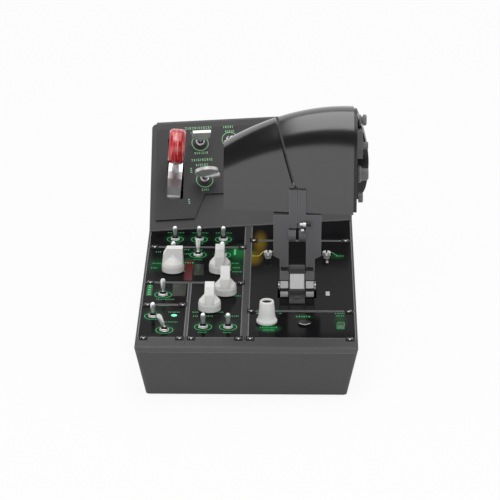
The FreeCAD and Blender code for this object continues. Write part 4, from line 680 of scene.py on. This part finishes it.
def nut(mesh, place):
    """A washer and a hexagon nut with its upper corners chamfered."""
    wide, narrow = WASHER_REACH
    spin_round(mesh, place, ((NUT_HOLE, 0), (wide, 0), (wide, WASHER_LOW), (narrow, WASHER_TOP),
                             (NUT_HOLE, WASHER_TOP)), True, steps=32)
    corner, inside = NUT_ACROSS / 2 / cos(pi / 6), NUT_HOLE / cos(pi / 6)
    inward, down = NUT_CHAMFER
    spin_round(mesh, place, ((inside, WASHER_TOP), (corner, WASHER_TOP), (corner, NUT_TOP - down),
                             (corner - inward, NUT_TOP), (inside, NUT_TOP)), True, steps=6)


def leaned(name):
    """The place at a lever's pivot with Z along the lever, and the lever's length, read from its CAD node."""
    pivot = throw_place(name)
    reach = [v.co - pivot for v in frame["nodes"][name].data.vertices]
    length = max(r.length for r in reach)
    tip = sum((r for r in reach if r.length > 0.93 * length), Vector()).normalized()
    return Matrix.Translation(pivot) @ tip.to_track_quat("Z", "Y").to_matrix().to_4x4(), length


def switch_nuts():
    """Bright nuts and washers under the deck toggles and console switches."""
    mesh = bmesh.new()
    flat = CONSOLE.inverted()
    for name in DECK_TOGGLES:
        at = throw_place(name)
        nut(mesh, Matrix.Translation((at.x, at.y, PANEL_TOP)))
    for name in CONSOLE_SWITCHES:
        at = flat @ throw_place(name)
        nut(mesh, on_console() @ Matrix.Translation((at.x, at.y, 0)))
    piece("switch_nuts", mesh, MATERIALS["bright_metal"])


def toggle_bats():
    """Bat handles of the deck toggles: a thin neck in the bushing that swells to a full, rounded tip."""
    for name in DECK_TOGGLES:
        place, length = leaned(name)
        tip = [(radius, length / MM + height) for radius, height in BAT_TIP]
        mesh = bmesh.new()
        spin_round(mesh, place, in_mm([*BAT_NECK, *tip]), False, steps=28)
        bat = piece("bat_" + name, mesh, MATERIALS["bright_metal"], name, smooth=True)
        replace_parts(bat, name)


def bell_knob():
    """The tall white knob: a flared foot, a nearly straight wall and a deep hollow top, with a black dish of
    painted shade in the hollow.
    """
    low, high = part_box("knob_bell")
    place = Matrix.Translation(((low.x + high.x) / 2, (low.y + high.y) / 2, 0))
    foot, top, wide = PANEL_TOP + BELL_GAP, high.z, (high.x - low.x) / 2
    wall = [(wide - inward * MM, foot + up * MM) for inward, up in BELL_FOOT]
    wall += [(wide - inward * MM, top - down * MM) for inward, down in BELL_TOP]
    mesh = bmesh.new()
    spin_round(mesh, place, ((0, foot), *wall, (0, wall[-1][1])), False, steps=48)
    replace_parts(piece("bell_white", mesh, MATERIALS["white_plastic"], "knob_bell", smooth=True), "knob_bell")
    # The black dish near the top of the hollow is painted shade.
    rim = [(wide - inward * MM, top - down * MM) for inward, down in BELL_FLOOR]
    mesh = bmesh.new()
    spin_round(mesh, place, ((0, rim[0][1]), *rim, (0, top - BELL_DISH)), False, steps=32)
    piece("bell_hollow_shade", mesh, RECESS_SHADE, "knob_bell")


def screw_places():
    """Centres of the deck screws, from the islands of their CAD node."""
    copy = bmesh.new()
    copy.from_mesh(frame["nodes"]["panel_screws"].data)
    bmesh.ops.remove_doubles(copy, verts=copy.verts, dist=0.001 * MM)
    left, centres = set(copy.verts), []
    while left:
        island, waiting = set(), [left.pop()]
        while waiting:
            vert = waiting.pop()
            island.add(vert)
            near = {e.other_vert(vert) for e in vert.link_edges} & left
            left -= near
            waiting.extend(near)
        xs, ys = [v.co.x for v in island], [v.co.y for v in island]
        centres.append(((min(xs) + max(xs)) / 2, (min(ys) + max(ys)) / 2))
    copy.free()
    return sorted(centres)


def deck_screws():
    """Cross-slotted screws at the corners of the light panels, with black painted shade at the bottom of each
    screw well and in the cross slots.
    """
    well_shade, heads, slots = bmesh.new(), bmesh.new(), bmesh.new()
    for x, y in screw_places():
        place = Matrix.Translation((x, y, DECK_TOP))
        slab(well_shade, place, 0, 0, *SCREW_WELL_SHADE)
        spin_round(heads, place, in_mm(SCREW_HEAD), False, steps=24)
        for turn in SLOT_TURNS:
            slab(slots, place, 0, 0, *SCREW_SLOT, turn)
    piece("screw_well_shade", well_shade, RECESS_SHADE)
    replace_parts(piece("screw_heads", heads, SCREW_STEEL, smooth=True), "panel_screws")
    piece("screw_slot_shade", slots, RECESS_SHADE)


def panel_rim_highlights():
    """Painted highlights: thin pale lines along the edges where the deck ribs turn down to each light panel.
    """
    mesh = bmesh.new()
    place = Matrix.Translation((0, 0, DECK_TOP))
    for name in LIGHT_PANELS:
        low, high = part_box(name)
        middle, length = (low.x + high.x) / 2, high.x - low.x
        behind = "rear" in name
        for y in (low.y,) if behind else (low.y, high.y):
            slab(mesh, place, middle, y, length, RIM_WIDE, RIM_LOW, RIM_HIGH)
        for x in (low.x, high.x):
            end = high.y - (high.x - x) * tan(CONSOLE_TURN) - RIM_SHORT if behind else high.y
            slab(mesh, place, x, (low.y + end) / 2, RIM_WIDE, end - low.y, RIM_LOW, RIM_HIGH)
    piece("rib_edge_highlights", mesh, RIB_EDGE_HIGHLIGHT)


def hub_flats():
    """Silver plates and thin arcs on the front of each hub are painted reflections on its dark glossy faces; a
    silver plate also lies on the block between them.
    """
    axle = Matrix.Translation(AXLE)
    flat, chord = HUB_RADIUS - HUB_FLAT_DROP, HUB_RADIUS * cos(BLOCK_CHORD)
    inner, outer = HUB_RADIUS - HUB_ARC_SUNK, HUB_RADIUS + PLATE_PROUD
    along = axle @ Matrix.Rotation(pi / 2, 4, "Y") @ Matrix.Rotation(pi, 4, "Z")
    for side, body in zip(("left", "right"), THROTTLES):
        low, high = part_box("hub_" + side)
        wide, middle = high.x - low.x, (low.x + high.x) / 2 - AXLE.x
        start, end = middle - wide / 2 + PLATE_MARGIN, middle + wide / 2 - PLATE_MARGIN
        mesh = bmesh.new()
        slab(mesh, axle @ Matrix.Rotation(HUB_PLATE_TILT, 4, "X"), middle, 0, wide - 2 * PLATE_MARGIN,
             HUB_PLATE_DEEP, flat + PLATE_SUNK, flat + PLATE_PROUD)
        spin_round(mesh, along, ((inner, start), (outer, start), (outer, end), (inner, end)), True,
                   *HUB_PLATE_ARC, 6)
        piece("hub_painted_reflection_" + side, mesh, SILVER, body)
    low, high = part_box("pivot_block")
    mesh = bmesh.new()
    slab(mesh, axle @ Matrix.Rotation(BLOCK_PLATE_TILT, 4, "X"), 0, BLOCK_PLATE_BACK,
         high.x - low.x - 2 * BLOCK_PLATE_MARGIN, BLOCK_PLATE_DEEP, chord + PLATE_SUNK, chord + PLATE_PROUD)
    piece("block_plate", mesh, SILVER)


def lock_pin():
    """The stepped bright pin with a black grip that stands out at the front of the right arm."""
    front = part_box("arm_right")[0].y
    pin = (Matrix.Translation((AXLE.x + PIN_ACROSS, front - PIN_OUT, DECK_TOP + PIN_UP))
           @ Matrix.Rotation(pi / 2, 4, "Y"))
    mesh = bmesh.new()
    spin_round(mesh, pin, in_mm(LOCK_PIN), False, steps=20)
    spin_round(mesh, pin @ Matrix.Translation((6 * MM, 0, 1 * MM)), in_mm(LOCK_PIN_END), False, steps=20)
    piece("lock_pin", mesh, MATERIALS["bright_metal"], "throttle_right", smooth=True)
    mesh = bmesh.new()
    spin_round(mesh, pin, in_mm(LOCK_PIN_GRIP), False, steps=20)
    piece("lock_pin_grip", mesh, MATERIALS["black_plastic"], "throttle_right", smooth=True)


def button_mark():
    """The pale crescent on the round button."""
    low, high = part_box("reset_button")
    ink = Ink(Matrix.Translation(((low.x + high.x) / 2, (low.y + high.y) / 2, high.z)))
    ink.ring(0, 0, (high.x - low.x) / 2 - 1.2 * MM, 0.9 * MM, *CRESCENT_ARC, 16)
    ink.done("button_crescent", WHITE_MARK, "reset_button")


def gear_clamp():
    """The black clamp that holds the wheel on its arm."""
    wheel = [(a + b) / 2 for a, b in zip(*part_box("gear_wheel"))]
    pivot = hinge_place("gear_lever_swing")
    down = (Vector((0, pivot.y - wheel[1], pivot.z - wheel[2]))).normalized()
    place = (Matrix.Translation(Vector(wheel) + down * CLAMP_BELOW)
             @ down.to_track_quat("Z", "X").to_matrix().to_4x4())
    mesh = bmesh.new()
    slab(mesh, place, 0, 0, *CLAMP_BOX)
    bmesh.ops.bevel(mesh, geom=mesh.edges[:], offset=CLAMP_ROUND, affect="EDGES", segments=2, profile=0.5,
                    material=-1)
    piece("gear_clamp", mesh, MATERIALS["black_plastic"], "gear_lever")


# ---------------------------------------------------------------- floor, light and camera

FLOOR_GLOW, SKY_LEVEL = 0.92, 0.55
FLOOR_Z = cad_box[0][2]
FLOOR_BOX = ((-6, -6, FLOOR_Z - 0.02), (6, 9, FLOOR_Z))
CEILING_BOX = ((-6, -11, 4.2), (6, 3.5, 4.25))
# Lamps: name, place, aim, size, power, and whether glossy surfaces mirror them.
LAMPS = (("key", (-0.7, -1.6, 1.5), (0, 0, 0.1), (0.9, 0.9), 11, False),
         ("fill", (1.1, -1.4, 0.7), (0, 0, 0.1), (1.0, 0.8), 3, False),
         ("softbox", (0.1, 0.1, 3.2), (0.1, 0.1, 0), (2.4, 4.2), 80, True))
CAMERA_PLACE, CAMERA_TILT, CAMERA_TURN = (0.0404, -2.6904, 1.1264), radians(68.6), radians(0.846)
LENS, SENSOR, CLIP = 208.8, 36, (0.1, 50)


def stage_slab(name, low, high, material):
    """A box of the studio between two corners."""
    mesh = bmesh.new()
    size = Vector(high) - Vector(low)
    slab(mesh, Matrix.Translation(low), size.x / 2, size.y / 2, size.x, size.y, 0, size.z)
    solid_object(name, mesh, material)


def seen_directly(tree):
    """1 for rays that show the background itself: from the camera, mirrored or seen through."""
    path = tree.nodes.new("ShaderNodeLightPath")
    either = maths(tree, "MAXIMUM", path.outputs["Is Camera Ray"], path.outputs["Is Glossy Ray"])
    return maths(tree, "MAXIMUM", either, path.outputs["Is Transmission Ray"])


def floor_finish():
    """Pale floor: white to the camera and in reflections, and it keeps some of the shadow."""
    material = bpy.data.materials.new("floor_pale")
    material.use_nodes = True
    tree = material.node_tree
    nodes, link = tree.nodes, tree.links.new
    shader = nodes["Principled BSDF"]
    shader.inputs["Base Color"].default_value = (0.86, 0.86, 0.86, 1)
    shader.inputs["Roughness"].default_value = 0.9
    glow, mix = nodes.new("ShaderNodeEmission"), nodes.new("ShaderNodeMixShader")
    link(maths(tree, "MULTIPLY", seen_directly(tree), FLOOR_GLOW), mix.inputs[0])
    link(shader.outputs[0], mix.inputs[1])
    link(glow.outputs[0], mix.inputs[2])
    link(mix.outputs[0], nodes["Material Output"].inputs["Surface"])
    return material


def world():
    """Soft even light; what the camera and glossy surfaces see of it is white."""
    sky = bpy.data.worlds.new("studio")
    bpy.context.scene.world = sky
    sky.use_nodes = True
    nodes, link = sky.node_tree.nodes, sky.node_tree.links.new
    back, strength = nodes["Background"], nodes.new("ShaderNodeMapRange")
    link(seen_directly(sky.node_tree), strength.inputs["Value"])
    strength.inputs["To Min"].default_value = SKY_LEVEL
    strength.inputs["To Max"].default_value = 1.0
    link(strength.outputs["Result"], back.inputs["Strength"])
    back.inputs["Color"].default_value = (1, 1, 1, 1)


def lamp(name, place, aim, size, power, mirrored):
    """A soft rectangular lamp; one that isn't mirrored lights the object but makes no highlight."""
    data = bpy.data.lights.new(name, "AREA")
    data.shape, data.size, data.size_y = "RECTANGLE", size[0], size[1]
    data.energy = power
    thing = bpy.data.objects.new(name, data)
    bpy.context.scene.collection.objects.link(thing)
    thing.location = place
    thing.rotation_euler = (Vector(aim) - Vector(place)).to_track_quat("-Z", "Y").to_euler()
    thing.visible_glossy = mirrored


def camera():
    """Long lens from the front, a little above, turned slightly left."""
    data = bpy.data.cameras.new("camera")
    data.sensor_width, data.lens = SENSOR, LENS
    data.clip_start, data.clip_end = CLIP
    thing = bpy.data.objects.new("camera", data)
    bpy.context.scene.collection.objects.link(thing)
    thing.location = CAMERA_PLACE
    thing.rotation_euler = (CAMERA_TILT, 0, CAMERA_TURN)
    bpy.context.scene.camera = thing


# ---------------------------------------------------------------- the scene

dress_nodes()
deck_legends()
amber_legend()
lamps_and_windows()
console_legends()
switch_nuts()
toggle_bats()
bell_knob()
deck_screws()
panel_rim_highlights()
hub_flats()
lock_pin()
button_mark()
gear_clamp()

stage_slab("floor", *FLOOR_BOX, floor_finish())
stage_slab("ceiling", *CEILING_BOX, surface("ceiling_dark", (0.03, 0.03, 0.03), (0.8, 0.9)))
world()
for values in LAMPS:
    lamp(*values)
camera()
bpy.context.scene.view_settings.view_transform = "Standard"
